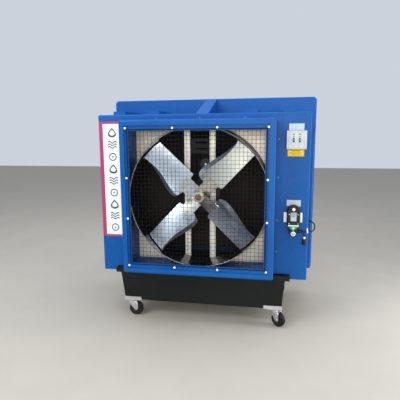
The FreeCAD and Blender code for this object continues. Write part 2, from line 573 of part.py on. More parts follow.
def make_drive():
    plane = "(%s + pulley_plane)" % FRONT
    motor_z = "(%s + pulley_rise)" % AXIS
    node("fan_pulley", pulley(AXIS, plane, "fan_pitch_diameter / 2", "shaft_diameter / 2"))
    node("motor_pulley", pulley(motor_z, plane, "motor_pitch_diameter / 2", "motor_shaft_diameter / 2"))
    half, rise = value("belt_height") / 2, value("pulley_rise")
    low, high = value("fan_pitch_diameter") / 2, value("motor_pitch_diameter") / 2
    loop = belt_loop(low + half, high + half, rise).cut(belt_loop(low - half, high - half, rise))
    belt = loop.extrude(V(0, value("belt_width"), 0))
    belt.translate(V(0, value("%s - belt_width / 2" % plane), value(AXIS)))
    node("drive_belt", shape_piece(belt))
    # bearing bracket: a plate on the struts, a plate behind the pulley and a floor between them
    back_of_struts = "(%s + panel_depth + sheet + strut_flange)" % FRONT
    rear_plate = "(%s + pulley_plane + 45)" % FRONT
    left, right = "(-strut_left - strut_width / 2)", "(strut_right + strut_width / 2)"
    low_z, high_z = "(%s - fan_pitch_diameter / 2 - 25)" % AXIS, "(%s + 45)" % AXIS
    plates = fuse(box(left, right, back_of_struts, "%s + bracket_sheet" % back_of_struts, low_z, high_z),
                  box(left, right, rear_plate, "%s + bracket_sheet" % rear_plate, low_z, high_z),
                  box(left, right, back_of_struts, rear_plate, low_z, "%s + bracket_sheet" % low_z))
    node("bearing_bracket", cut(plates, rod("y", "0", FRONT, AXIS, "0.8 * shaft_diameter", "shroud_depth * 4")))
    housings = []
    for start in ("%s + bracket_sheet" % back_of_struts, "%s + bracket_sheet" % rear_plate):
        housings.append(cut(rod("y", "0", start, AXIS, "1.5 * shaft_diameter", "18"),
                            rod("y", "0", "%s - 1" % start, AXIS, "shaft_diameter / 2 + running_gap", "20")))
    node("shaft_bearings", group(*housings))
    # motor, its shaft and its bracket
    motor_y = "(%s + motor_front)" % FRONT
    shell = fuse(rod("y", "0", motor_y, motor_z, "motor_diameter / 2", "motor_length"),
                 rod("y", "0", "%s - 14" % motor_y, motor_z, "motor_diameter / 2 - 12", "motor_length + 28"),
                 box("-motor_diameter / 3", "motor_diameter / 3", "%s + 20" % motor_y,
                     "%s + motor_length - 20" % motor_y, motor_z, "%s + motor_diameter / 2 + 12" % motor_z),
                 box("motor_diameter / 2 - 12", "motor_diameter / 2 + 26", "%s + 40" % motor_y,
                     "%s + 120" % motor_y, "%s - 30" % motor_z, "%s + 30" % motor_z))
    node("motor_body", cut(shell, rod("y", "0", "%s - 20" % motor_y, motor_z,
                                      "motor_shaft_diameter / 2 + running_gap", "90")))
    node("motor_shaft", rod("y", "0", "%s - pulley_width / 2 - 2" % plane, motor_z,
                            "motor_shaft_diameter / 2", "motor_front - pulley_plane + pulley_width / 2 + 60"))
    plate_z = "(%s + motor_diameter / 2 + 12)" % motor_z
    upright = cut(box(left, right, back_of_struts, "%s + bracket_sheet" % back_of_struts, plate_z,
                      "%s + 105" % plate_z),
                  *[box("-strut_left / 2", "strut_right / 2", "%s - 1" % back_of_struts,
                        "%s + bracket_sheet + 1" % back_of_struts, "%s + %d" % (plate_z, z),
                        "%s + %d" % (plate_z, z + 12)) for z in (28, 70)])
    node("motor_bracket", fuse(upright, box(left, right, back_of_struts, "%s + motor_length" % motor_y,
                                            plate_z, "%s + bracket_sheet" % plate_z)))


# ------------------------------------------------------------------ water side
def make_water_side():
    pads = []
    pad_y = "(%s + wall + (rear_depth - 2 * wall - pad_thickness) / 2)" % REAR
    pad_top = "(%s - wall - 2 * pipe_diameter)" % REAR_TOP
    for i in range(-2, 3):
        pads.append(box("%d * (pad_width + pad_gap) - pad_width / 2" % i,
                        "%d * (pad_width + pad_gap) + pad_width / 2" % i, pad_y,
                        "%s + pad_thickness" % pad_y, "%s + wall" % DECK, pad_top))
    node("cooling_pads", group(*pads))
    straps = []
    for share in (0.28, 0.72):
        z = "(%s + %g * (%s - %s))" % (DECK, share, pad_top, DECK)
        straps.append(wide_box("rear_width / 2 - wall - 2", "%s + pad_thickness" % pad_y,
                               "%s + pad_thickness + 3" % pad_y, "%s - 15" % z, "%s + 15" % z))
    node("pad_retainers", group(*straps))
    pipe_z = "(%s - wall - pipe_diameter)" % REAR_TOP
    pipe_y = "(%s + rear_depth / 2)" % REAR
    pipe = fuse(rod("x", "-(rear_width / 2 - 3 * wall)", pipe_y, pipe_z, "pipe_diameter / 2",
                    "rear_width - 6 * wall"),
                rod("y", "0", "%s - pipe_diameter * 1.6" % pipe_y, pipe_z, "pipe_diameter / 2 + 3",
                    "pipe_diameter * 1.6"))
    socket = rod("y", "0", "%s - pipe_diameter * 1.6 - 1" % pipe_y, pipe_z,
                 "riser_diameter / 2 + running_gap", "pipe_diameter + 1")
    node("distribution_pipe", cut(pipe, socket))
    pump_y = "(%s + pump_depth)" % FRONT
    pump_base = "(%s + tank_wall)" % TANK_BASE
    riser_r = value("riser_diameter") / 2
    bend = 1.6 * value("riser_diameter")
    low = V(0, value(pump_y), value("%s + pump_height" % pump_base))
    high = V(0, value(pump_y), value(pipe_z) - bend)
    turn = V(0, value(pump_y) + bend * (1 - math.sqrt(0.5)), value(pipe_z) - bend * (1 - math.sqrt(0.5)))
    flat = V(0, value(pump_y) + bend, value(pipe_z))
    end = V(0, value("%s - pipe_diameter * 0.62" % pipe_y), value(pipe_z))
    path = Part.Wire([Part.LineSegment(low, high).toShape(), Part.Arc(high, turn, flat).toShape(),
                      Part.LineSegment(flat, end).toShape()])
    ring = Part.Wire(Part.makeCircle(riser_r, low, V(0, 0, 1)))
    node("riser_pipe", shape_piece(path.makePipeShell([ring], True, True)))
    body = fuse(rod("z", "0", pump_y, "%s + 24" % pump_base, "pump_diameter / 2", "pump_height - 24"),
                rod("z", "0", pump_y, pump_base, "pump_diameter / 2 + 8", "26"))
    chamber = rod("z", "0", pump_y, "%s - 1" % pump_base, "pump_diameter / 3 + 2", "17")
    node("pump_body", cut(body, chamber))
    vanes = [box("-pump_diameter / 3", "pump_diameter / 3", "%s - 1.5" % pump_y, "%s + 1.5" % pump_y,
                 "%s + 4" % pump_base, "%s + 12" % pump_base),
             box("-1.5", "1.5", "%s - pump_diameter / 3" % pump_y, "%s + pump_diameter / 3" % pump_y,
                 "%s + 4" % pump_base, "%s + 12" % pump_base)]
    node("pump_impeller", fuse(rod("z", "0", pump_y, "%s + 3" % pump_base, "pump_diameter / 8", "11"), *vanes))


# ------------------------------------------------------------------ casters
CASTERS = {"front_left": (-1, 0, 4), "front_right": (1, 0, -38), "rear_left": (-1, 1, 20),
           "rear_right": (1, 1, -14)}


def make_casters():
    height, steel = value("caster_height"), value("steel")
    trail, wheel_r = value("caster_trail"), value("wheel_diameter") / 2
    half_w, pin_r, axle_r = value("wheel_width") / 2, value("kingpin_diameter") / 2, value("axle_diameter") / 2
    gap, fit = value("gap"), value("running_gap")
    plate, base, rim = value("caster_plate"), value(TANK_BASE), 26
    head_z = height - steel
    plates = []
    for side, row, _ in CASTERS.values():
        x = side * value("caster_track") / 2
        y = value("%s + caster_front" % FRONT) + row * value("caster_base")
        outer = side * (value("tank_width / 2 - tank_taper") + 6)
        end = value("%s + tank_taper" % TANK_Y) - 6 if row == 0 else \
            value("%s + tank_depth - tank_taper" % TANK_Y) + 6
        low_x = outer if side < 0 else outer - plate
        low_y = end if row == 0 else end - plate + 9
        top = Part.makeBox(plate, plate - 9, steel, V(low_x, low_y, base - steel))
        side_lip = Part.makeBox(3, plate - 9, rim, V(outer if side < 0 else outer - 3, low_y, base - steel))
        end_lip = Part.makeBox(plate, 3, rim, V(low_x, end if row == 0 else end - 3, base - steel))
        mount = Part.makeBox(95, 54, steel, V(x - 47.5, y - 27, head_z))
        pin = Part.makeCylinder(pin_r, head_z - 101, V(x, y, 101))
        head = Part.makeCylinder(pin_r + 3, 2.4, V(x, y, 98.9))
        plates.append(top.multiFuse([mount, pin, head, side_lip, end_lip]).removeSplitter())
    node("caster_plates", shape_piece(Part.makeCompound(plates)))

    raceway = Part.makeCylinder(30, head_z - gap - 107, V(0, 0, 107))
    crown = Part.makeBox(trail + 34, 2 * half_w + 10, 4, V(-22, -half_w - 5, 103))
    legs = []
    for side in (-1, 1):
        y = half_w + 2 if side > 0 else -half_w - 5
        corners = [V(-18, y, 107), V(trail + 12, y, 107), V(trail + 12, y, wheel_r - 9),
                   V(trail - 12, y, wheel_r - 9), V(-18, y, 88), V(-18, y, 107)]
        legs.append(Part.Face(Part.makePolygon(corners)).extrude(V(0, 3, 0)))
    fork = crown.multiFuse([raceway] + legs)
    fork = fork.cut(Part.makeCylinder(pin_r + fit, 60, V(0, 0, 90)))
    axle_hole = Part.makeCylinder(axle_r + fit, 80, V(trail, -40, wheel_r), V(0, 1, 0))
    fork = fork.cut(axle_hole)
    axle = Part.makeCylinder(axle_r, 2 * half_w + 20, V(trail, -half_w - 10, wheel_r), V(0, 1, 0))
    for side in (-1, 1):
        start = half_w + 5 + fit if side > 0 else -half_w - 10
        axle = axle.fuse(Part.makeCylinder(axle_r + 3, 5 - fit, V(trail, start, wheel_r), V(0, 1, 0)))
    tyre = Part.makeCylinder(wheel_r, 2 * half_w, V(trail, -half_w, wheel_r), V(0, 1, 0))
    tyre = tyre.makeFillet(5, [e for e in tyre.Edges if e.Curve.TypeId == "Part::GeomCircle"])
    for side in (-1, 1):
        start = half_w - 5 if side > 0 else -half_w - 1
        dish = Part.makeCylinder(wheel_r * 0.68, 6, V(trail, start, wheel_r), V(0, 1, 0))
        nave = Part.makeCylinder(11, 6, V(trail, start, wheel_r), V(0, 1, 0))
        tyre = tyre.cut(dish.cut(nave))
    wheel = tyre.cut(axle_hole)
    for name, (side, row, turn) in CASTERS.items():
        spot = App.Placement(V(side * value("caster_track") / 2,
                               value("%s + caster_front" % FRONT) + row * value("caster_base"), 0),
                             App.Rotation(V(0, 0, 1), turn)).toMatrix()
        node("caster_fork_" + name, shape_piece(Part.makeCompound([fork.transformed(spot),
                                                                   axle.transformed(spot)])))
        node("caster_wheel_" + name, shape_piece(wheel.transformed(spot)))


# ------------------------------------------------------------------ controls and labels on the wings
def make_controls():
    z = "(%s + control_rise)" % AXIS
    x = CONTROL_X
    face = "(%s - box_depth)" % WING
    half_w, half_h = "box_width / 2", "box_height / 2"
    body = cut(box("%s - %s + 4" % (x, half_w), "%s + %s - 4" % (x, half_w), face, WING,
                   "%s - %s + 4" % (z, half_h), "%s + %s - 4" % (z, half_h)),
               box("%s - %s + 8" % (x, half_w), "%s + %s - 8" % (x, half_w), "%s - 1" % face, "%s - 3" % WING,
                   "%s - %s + 8" % (z, half_h), "%s + %s - 8" % (z, half_h)))
    node("switch_box", body)
    cover_y = "(%s - cover_sheet)" % face
    cover = box("%s - %s" % (x, half_w), "%s + %s" % (x, half_w), cover_y, face, "%s - %s" % (z, half_h),
                "%s + %s" % (z, half_h))
    slots = [box("%s + %g * toggle_spacing - 6" % (x, s), "%s + %g * toggle_spacing + 6" % (x, s),
                 "%s - 1" % cover_y, "%s + 1" % face, "%s - 13" % z, "%s + 13" % z) for s in (-0.5, 0.5)]
    plain = cut(rounded(cover, "cover_sheet / 2", lambda e: middle(e).y < value(cover_y) + 1), *slots)
    cheeks = []
    for s in (-0.5, 0.5):
        tx = "(%s + %g * toggle_spacing)" % (x, s)
        cheeks += [box("%s %+g" % (tx, low), "%s %+g" % (tx, low + 3), face, "%s + 16" % face,
                       "%s - 16" % z, "%s + 16" % z) for low in (-9, 6)]
        cheeks.append(rod("x", "%s - 7" % tx, "%s + 8" % face, z, "2", "14"))
    node("switch_cover", fuse(plain, *cheeks))
    for name, side in (("fan_toggle", -0.5), ("pump_toggle", 0.5)):
        tx = "(%s + %g * toggle_spacing)" % (x, side)
        lever = cone("y", tx, "%s - 14" % cover_y, z, "4", "3", "14 + cover_sheet")
        barrel = rod("x", "%s - 5" % tx, "%s + 8" % face, z, "7", "10")
        stem = rod("y", tx, "%s - 1" % face, z, "3", "5")
        node(name, cut(fuse(lever, barrel, stem),
                       rod("x", "%s - 9" % tx, "%s + 8" % face, z, "2 + running_gap", "18")))
    label_y = "(%s - label_sheet)" % WING
    top_label = box("%s - 47" % x, "%s + 47" % x, label_y, WING, "%s + %s + 2" % (z, half_h),
                    "%s + %s + 45" % (z, half_h))
    breaker_z = "(%s - 26)" % BREAKER_TOP
    low_label = box("%s - 50" % x, "%s + 40" % x, label_y, WING, "%s + 14" % breaker_z, "%s + 55" % breaker_z)
    inset = box("%s - 18.5" % BREAKER_X, "%s + 18.5" % BREAKER_X, "%s - 4 - breaker_depth" % WING,
                "%s - 3 - breaker_depth" % WING, "%s - 0.5 * breaker_height" % BREAKER_TOP,
                "%s - 0.5 * breaker_height + 56" % BREAKER_TOP)
    node("white_labels", group(top_label, low_label, inset))
    node("caution_label", box("%s - 53" % x, "%s + 51" % x, label_y, WING, "%s - %s - 46" % (z, half_h),
                              "%s - %s - 3" % (z, half_h)))
    banner_x = "(-(body_width - banner_width) / 2 + 7)"
    node("banner", box("%s - banner_width / 2" % banner_x, "%s + banner_width / 2" % banner_x, label_y, WING,
                       "%s + 98.5 - banner_height / 2" % AXIS, "%s + 98.5 + banner_height / 2" % AXIS))


def breaker_flank():
    """The slanting right-hand side of the breaker's head: its upper and lower end and its outward way."""
    x, top, height = value(BREAKER_X), value(BREAKER_TOP), value("breaker_height")
    upper = V(x + value("breaker_width") / 2, value(WING) - 3, top - 0.62 * height)
    lower = V(x + 0.2 * value("breaker_width"), value(WING) - 3, top - 0.97 * height)
    along = lower - upper
    return upper, lower, V(-along.z, 0, along.x).normalize()


def make_breaker():
    """Safety breaker on the wing: a head with a rounded top and a tapering foot, on a backing plate."""
    x, wing = value(BREAKER_X), value(WING)
    half, deep, height = value("breaker_width") / 2, value("breaker_depth"), value("breaker_height")
    top = value(BREAKER_TOP)
    foot = top - height
    plate = Part.makeBox(120, 3, 66, V(x - 62, wing - 3, top - 120))
    node("breaker_plate", shape_piece(plate))
    y = wing - 3
    upper, lower_end, _ = breaker_flank()
    points = [V(x - half, y, top - half), V(x, y, top), V(x + half, y, top - half)]
    lower = [upper, lower_end, V(x + 10, y, foot), V(x - 10, y, foot),
             V(2 * x - lower_end.x, y, lower_end.z), V(x - half, y, upper.z)]
    edges = [Part.Arc(*points).toShape(), Part.LineSegment(points[2], lower[0]).toShape()]
    edges += [Part.LineSegment(a, b).toShape() for a, b in zip(lower, lower[1:])]
    edges.append(Part.LineSegment(lower[-1], points[0]).toShape())
    head = Part.Face(Part.Wire(edges)).extrude(V(0, -deep, 0))
    rim = [e for e in head.Edges if e.CenterOfMass.y < y - deep + 0.01]
    head = head.makeFillet(7, rim)
    button_z = top - 0.125 * height
    well = Part.makeCylinder(10 + 0.3, 12, V(x, y - deep - 1, button_z), V(0, 1, 0))
    node("breaker_head", shape_piece(head.cut(well)))
    node("reset_button", shape_piece(Part.makeCylinder(10, 11, V(x, y - deep - 5, button_z), V(0, 1, 0))))
    collar_top = top - 0.63 * height
    collar_edge = [V(x + a, y - deep - 2, collar_top - b)
                   for a, b in ((-34, 0), (34, 0), (30, 12), (0, 40), (-30, 12), (-34, 0))]
    collar = Part.Face(Part.makePolygon(collar_edge)).extrude(V(0, 2, 0))
    node("breaker_collar", shape_piece(collar))
    centre = V(x, y - deep - 6, collar_top - 57)
    ring = Part.makeCylinder(15, 6, centre, V(0, 1, 0)).cut(Part.makeCylinder(9, 8, centre, V(0, 1, 0)))
    node("breaker_ring", shape_piece(ring))


# ------------------------------------------------------------------ leads
def tube(points, diameter):
    """A cord along straight runs joined by tangent arcs, each as large as its two runs allow."""
    edges, at, radii = [], points[0], []
    for before, corner, after in zip(points, points[1:], points[2:]):
        back, ahead = (before - corner), (after - corner)
        run = min(back.Length, ahead.Length)
        half_turn = (math.pi - back.getAngle(ahead)) / 2
        take = 0.45 * run
        radius = take / math.tan(half_turn)
        radii.append(round(radius, 1))
        start = corner + back.normalize() * take
        stop = corner + ahead.normalize() * take
        inward = (back + ahead).normalize()
        mid = corner + inward * (radius / math.cos(half_turn) - radius)
        edges.append(Part.LineSegment(at, start).toShape())
        edges.append(Part.Arc(start, mid, stop).toShape())
        at = stop
    edges.append(Part.LineSegment(at, points[-1]).toShape())
    path = Part.Wire(edges)
    way = points[1] - points[0]
    ring = Part.Wire(Part.makeCircle(diameter / 2, points[0], way))
    shape = path.makePipeShell([ring], True, True)
    want = math.pi * diameter ** 2 / 4 * path.Length
    print("lead radii %s, length %.1f, volume ratio %.4f" % (radii, path.Length, shape.Volume / want))
    return shape


# the supply lead: over to the wing's edge, round it and back along the side into the shoulder;
# each point is (right of the wing's edge, behind the wing's face, above the breaker's foot), after a
# straight run square to the gland
SUPPLY_START = 36
SUPPLY_ROUTE = [(12.5, -8, 26.5), (35.5, 12, 34.5), (46.5, 46, 46.5), (48.5, 88, 57.5), (42.5, 141, 61.5)]
SHOULDER_ENTRY = (18.5, -51, 58.5)
# the plug's lead: across under the supply lead and down into the plug
PLUG_START = 9.75
PLUG_ROUTE = [(23.2, -2.9), (37.2, -7.9), (44.7, -19.4), (44.7, -30.9)]


def make_leads():
    wing, edge, foot = value(WING), value("body_width / 2"), value(BREAKER_TOP) - value("breaker_height")
    upper, lower, out = breaker_flank()
    glands, starts = [], []
    for share, depth, radius, length in ((0.5, 11, 6.5, 12), (0.72, 7, 4.5, 6)):
        base = upper + (lower - upper) * share + V(0, -depth, 0)
        glands.append(Part.makeCylinder(radius, length, base, out))
        starts.append(base + out * length)
    entry = V(edge + SHOULDER_ENTRY[0], value("%s - shoulder_depth" % REAR), foot + SHOULDER_ENTRY[2])
    glands.append(Part.makeCylinder(7, 14, entry, V(0, -1, 0)))
    node("lead_glands", shape_piece(Part.makeCompound(glands)))
    supply = [starts[0], starts[0] + out * SUPPLY_START]
    supply += [V(edge + a, wing + b, foot + c) for a, b, c in SUPPLY_ROUTE]
    supply += [V(entry.x, entry.y - 14 + SHOULDER_ENTRY[1], entry.z), V(entry.x, entry.y - 14, entry.z)]
    node("supply_lead", shape_piece(tube(supply, value("lead_diameter"))))
    plug = [starts[1], starts[1] + out * PLUG_START] + [starts[1] + V(a, 0, c) for a, c in PLUG_ROUTE]
    node("plug_lead", shape_piece(tube(plug, value("plug_lead_diameter"))))
    end = plug[-1]
    neck = Part.makeCylinder(7, 12, V(end.x, end.y, end.z - 12))
    body = Part.makeCone(14, 8, 10, V(end.x, end.y - 6, end.z - 22)).fuse(
        Part.makeCylinder(14, 28, V(end.x, end.y - 6, end.z - 50)))
    for dx in (-6, 6):
        body = body.fuse(Part.makeBox(1.6, 6.4, 14, V(end.x + dx - 0.8, end.y - 9.2, end.z - 64)))
    node("supply_plug", shape_piece(body.removeSplitter()))
    # clip that holds the supply lead on the wing
    spot = (supply[1] + supply[2]) * 0.5
    clip_r = value("lead_diameter") / 2 + 0.8
    clip = Part.makeCylinder(clip_r + 2, 8, V(spot.x - 4, spot.y, spot.z), V(1, 0, 0))
    clip = clip.fuse(Part.makeBox(8, wing - spot.y, 6, V(spot.x - 4, spot.y, spot.z - 3)))
    clip = clip.fuse(Part.makeBox(8, 2, 26, V(spot.x - 4, wing - 2, spot.z - 3)))
    clip = clip.cut(Part.makeCylinder(clip_r, 20, V(spot.x - 10, spot.y, spot.z), V(1, 0, 0)))
    node("lead_clips", shape_piece(Part.makeCompound([clip, neck])))


make_shroud()
make_grille()
make_main_housing()
make_rear_housing()
make_tank()
make_outlet()
make_fan()
make_drive()
make_water_side()
make_casters()
make_controls()
make_breaker()
make_leads()
doc.recompute()

failed = [o.Label for o in doc.Objects if "Invalid" in o.State or "Error" in o.State]
if failed:
    raise SystemExit("failed objects: %s" % failed)
os.makedirs("parts", exist_ok=True)
for piece in NODES:
    shape = piece.Shape
    if shape.isNull() or not shape.isValid():
        raise SystemExit("bad shape: %s" % piece.Label)
    shape.exportStep("parts/%s.step" % piece.Label)
    print("%-26s solids %3d volume %12.1f" % (piece.Label, len(shape.Solids), shape.Volume))
print(len(NODES), "nodes")
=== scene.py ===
"""Looks of the evaporative cooler: materials, light, camera and the pieces that CAD keeps plain.

Metres, in the CAD frame: +Z up from the floor, the air leaves towards -Y, +X to the right of
someone who faces the outlet.
"""
import json
import math

import bmesh
import bpy
from mathutils import Matrix, Vector


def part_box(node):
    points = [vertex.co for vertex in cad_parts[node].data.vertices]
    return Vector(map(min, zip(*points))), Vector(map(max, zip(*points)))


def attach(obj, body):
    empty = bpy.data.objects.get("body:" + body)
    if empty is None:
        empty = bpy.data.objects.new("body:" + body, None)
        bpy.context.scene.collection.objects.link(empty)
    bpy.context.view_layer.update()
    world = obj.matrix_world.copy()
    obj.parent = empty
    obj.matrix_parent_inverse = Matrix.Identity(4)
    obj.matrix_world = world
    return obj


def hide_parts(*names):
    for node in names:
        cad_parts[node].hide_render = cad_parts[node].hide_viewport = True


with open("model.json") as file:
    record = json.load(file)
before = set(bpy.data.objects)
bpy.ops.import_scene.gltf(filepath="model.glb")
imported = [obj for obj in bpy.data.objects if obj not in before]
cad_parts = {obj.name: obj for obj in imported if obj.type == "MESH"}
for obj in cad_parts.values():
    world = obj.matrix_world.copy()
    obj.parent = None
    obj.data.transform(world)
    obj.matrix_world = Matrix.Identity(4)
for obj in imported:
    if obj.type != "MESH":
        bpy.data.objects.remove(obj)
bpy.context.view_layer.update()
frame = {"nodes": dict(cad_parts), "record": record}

NODES = frame["nodes"]
MM = 0.001


# ------------------------------------------------------------------ places read from the frame
def corners(node):
    return [Vector(p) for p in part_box(node)]


def centre(node):
    low, high = corners(node)
    return (low + high) / 2


def joint(name):
    return next(j for j in frame["record"]["behaviour"]["joints"] if j["name"] == name)


SHOULDER_REACH = 44 * MM
SHAFT_NOSE = 26 * MM

SHROUD_LOW = corners("fan_shroud")[0]
BODY_LOW, BODY_HIGH = corners("main_housing")
BREAKER_LOW, BREAKER_HIGH = corners("breaker_head")
FRONT = SHROUD_LOW.y
WING = BODY_LOW.y
EDGE = BODY_HIGH.x - SHOULDER_REACH
HUB = centre("fan_shaft")
FAN_PLANE = corners("fan_shaft")[0].y + SHAFT_NOSE
SHOULDER_FRONT = corners("lead_glands")[1].y


# ------------------------------------------------------------------ materials
class Paint:
    """A node material under construction: a Principled shader and helpers that feed it."""

    def __init__(self, name, roughness=0.5, metallic=0.0, specular=0.5):
        self.material = bpy.data.materials.new(name)
        self.material.use_nodes = True
        self.tree = self.material.node_tree
        self.shader = self.tree.nodes["Principled BSDF"]
        self.shader.inputs["Roughness"].default_value = roughness
        self.shader.inputs["Metallic"].default_value = metallic
        self.shader.inputs["Specular IOR Level"].default_value = specular
        self.place = self.tree.nodes.new("ShaderNodeTexCoord").outputs["Object"]
        self.height = None

    def add(self, kind, **inputs):
        item = self.tree.nodes.new("ShaderNode" + kind)
        for key, value in inputs.items():
            socket = item.inputs[key.replace("_", " ")]
            if hasattr(value, "is_linked"):
                self.tree.links.new(value, socket)
            else:
                socket.default_value = value
        return item

    def stretched(self, x, y, z):
        """The object's coordinates, scaled by different amounts along the axes."""
        mapping = self.tree.nodes.new("ShaderNodeMapping")
        mapping.inputs["Scale"].default_value = (x, y, z)
        self.tree.links.new(self.place, mapping.inputs["Vector"])
        return mapping.outputs["Vector"]

    def noise(self, scale, detail, roughness, where=None):
        item = self.add("TexNoise", Scale=scale, Detail=detail, Roughness=roughness)
        self.tree.links.new(where or self.place, item.inputs["Vector"])
        return item.outputs["Fac"]

    def ramp(self, value, *stops):
        """Turn a value into a grey level, through two (position, level) stops."""
        item = self.tree.nodes.new("ShaderNodeValToRGB")
        self.tree.links.new(value, item.inputs["Fac"])
        for element, (at, level) in zip(item.color_ramp.elements, stops):
            element.position = at
            element.color = (level, level, level, 1.0)
        return item.outputs["Color"]

    def mix(self, factor, first, second):
        item = self.tree.nodes.new("ShaderNodeMix")
        item.data_type = "RGBA"
        for socket, value in ((item.inputs[0], factor), (item.inputs[6], first), (item.inputs[7], second)):
            if hasattr(value, "is_linked"):
                self.tree.links.new(value, socket)
            elif hasattr(value, "__len__"):
                socket.default_value = (*value, 1.0)
            else:
                socket.default_value = value
        return item.outputs[2]

    def scaled(self, value, factor):
        item = self.tree.nodes.new("ShaderNodeMath")
        item.operation = "MULTIPLY"
        self.tree.links.new(value, item.inputs[0])
        item.inputs[1].default_value = factor
        return item.outputs[0]

    def colour(self, value):
        self.tree.links.new(value, self.shader.inputs["Base Color"])

    def rough(self, value):
        self.tree.links.new(value, self.shader.inputs["Roughness"])

    def bump(self, value, strength, distance):
        """Raise the skin by a value, on top of any bump that is already there."""
        item = self.add("Bump", Strength=strength, Distance=distance, Height=value)
        if self.height is not None:
            self.tree.links.new(self.height, item.inputs["Normal"])
        self.height = item.outputs["Normal"]
        self.tree.links.new(self.height, self.shader.inputs["Normal"])


def moulded_plastic(name, colour, faded, dust, roughness, dust_amount, specular):
    """Rotationally moulded polyethylene: an uneven skin, a faded bloom and a little dust."""
    paint = Paint(name, specular=specular)
    broad = paint.noise(2.2, 4.0, 0.55)
    fine = paint.noise(34.0, 5.0, 0.65)
    skin = paint.mix(paint.ramp(broad, (0.35, 0.0), (0.72, 1.0)), colour, faded)
    speck = paint.scaled(paint.ramp(fine, (0.5, 0.0), (0.78, 1.0)), dust_amount)
    paint.colour(paint.mix(speck, skin, dust))
    paint.rough(paint.ramp(broad, (0.3, roughness[0]), (0.75, roughness[1])))
    paint.bump(paint.noise(9.0, 2.0, 0.5), 0.18, 0.004)
    paint.bump(paint.noise(240.0, 2.0, 0.5), 0.12, 0.0006)
    return paint.material


def galvanised(name, light, dark, metallic):
    """Hot-dip zinc: crystals of differing greys, dull patches and fine drawing marks."""
    paint = Paint(name, metallic=metallic)
    cells = paint.add("TexVoronoi", Scale=60.0, Vector=paint.place)
    tint = paint.ramp(cells.outputs["Color"], (0.15, 0.35), (0.85, 1.0))
    patches = paint.noise(5.0, 4.0, 0.6)
    zinc = paint.mix(tint, dark, light)
    paint.colour(paint.mix(paint.ramp(patches, (0.35, 0.0), (0.8, 0.55)), zinc, dark))
    paint.rough(paint.ramp(patches, (0.3, 0.38), (0.75, 0.6)))
    paint.bump(paint.noise(180.0, 2.0, 0.5), 0.1, 0.0004)
    return paint.material


def machined(name, light, dark, metallic=0.9, roughness=(0.25, 0.45), along=(30.0, 400.0, 400.0),
             bump=0.08):
    """Bright or plated metal with drawing marks along X."""
    paint = Paint(name, metallic=metallic)
    streaks = paint.noise(1.0, 3.0, 0.6, paint.stretched(*along))
    patches = paint.noise(12.0, 3.0, 0.6)
    paint.colour(paint.mix(paint.ramp(streaks, (0.3, 0.0), (0.7, 1.0)), dark, light))
    paint.rough(paint.ramp(patches, (0.3, roughness[0]), (0.7, roughness[1])))
    paint.bump(streaks, bump, 0.0003)
    return paint.material


def painted(name, colour, worn, roughness=(0.35, 0.5), grain=300.0, metallic=0.0, specular=0.5):
    """Paint, powder coat or moulded plastic on a small piece: mottled, with a fine grain."""
    paint = Paint(name, metallic=metallic, specular=specular)
    patches = paint.noise(14.0, 4.0, 0.6)
    paint.colour(paint.mix(paint.ramp(patches, (0.4, 0.0), (0.8, 1.0)), colour, worn))
    paint.rough(paint.ramp(patches, (0.3, roughness[0]), (0.7, roughness[1])))
    paint.bump(paint.noise(grain, 2.0, 0.5), 0.15, 0.0004)
    return paint.material


# colours are linear: the usual one first, then the worn, faded or dark one
BLUE = moulded_plastic("blue_polyethylene", (0.0015, 0.060, 0.245), (0.003, 0.080, 0.295),
                       dust=(0.025, 0.12, 0.32), roughness=(0.38, 0.52), dust_amount=0.25,
                       specular=0.14)
TANK = moulded_plastic("black_polyethylene", (0.0025, 0.0045, 0.0042), (0.005, 0.0075, 0.007),
                       dust=(0.04, 0.04, 0.036), roughness=(0.5, 0.65), dust_amount=0.06,
                       specular=0.2)

ZINC = galvanised("galvanised_sheet", (0.95, 0.89, 0.79), (0.74, 0.68, 0.59), metallic=0.33)
BRIGHT_ZINC = galvanised("bright_zinc", (0.80, 0.79, 0.74), (0.54, 0.53, 0.48), metallic=0.5)
LIP = galvanised("ring_lip_zinc", (0.40, 0.38, 0.33), (0.22, 0.21, 0.18), metallic=0.4)

PLATED = machined("plated_steel", (0.72, 0.73, 0.74), (0.46, 0.47, 0.48))
STEEL = machined("turned_steel", (0.55, 0.55, 0.55), (0.32, 0.32, 0.32))
BRASS = machined("brass", (0.66, 0.45, 0.18), (0.42, 0.28, 0.12))
TOGGLE = machined("toggle_metal", (0.30, 0.31, 0.33), (0.18, 0.19, 0.20), 0.7, (0.45, 0.6),
                  along=(40.0, 90.0, 90.0))
RUSTED = machined("rusted_nut", (0.20, 0.13, 0.075), (0.10, 0.055, 0.03), 0.5, (0.5, 0.7),
                  along=(90.0, 90.0, 90.0))
ALLOY = machined("blade_alloy", (0.76, 0.84, 0.90), (0.64, 0.72, 0.79), 1.0, (0.24, 0.38),
                 along=(4.0, 12.0, 12.0), bump=0.01)
# a dark copy of the blade alloy: painted shade on the strip bent back along the leading edge
ALLOY_PAINTED_SHADE = machined("blade_fold_painted_shade", (0.16, 0.18, 0.21), (0.08, 0.09, 0.11), 0.6, (0.35, 0.5),
                      along=(6.0, 90.0, 90.0))
HUB_CREAM = machined("hub_plate", (0.80, 0.81, 0.76), (0.60, 0.61, 0.57), 1.0, (0.26, 0.42),
                     along=(12.0, 30.0, 30.0), bump=0.02)

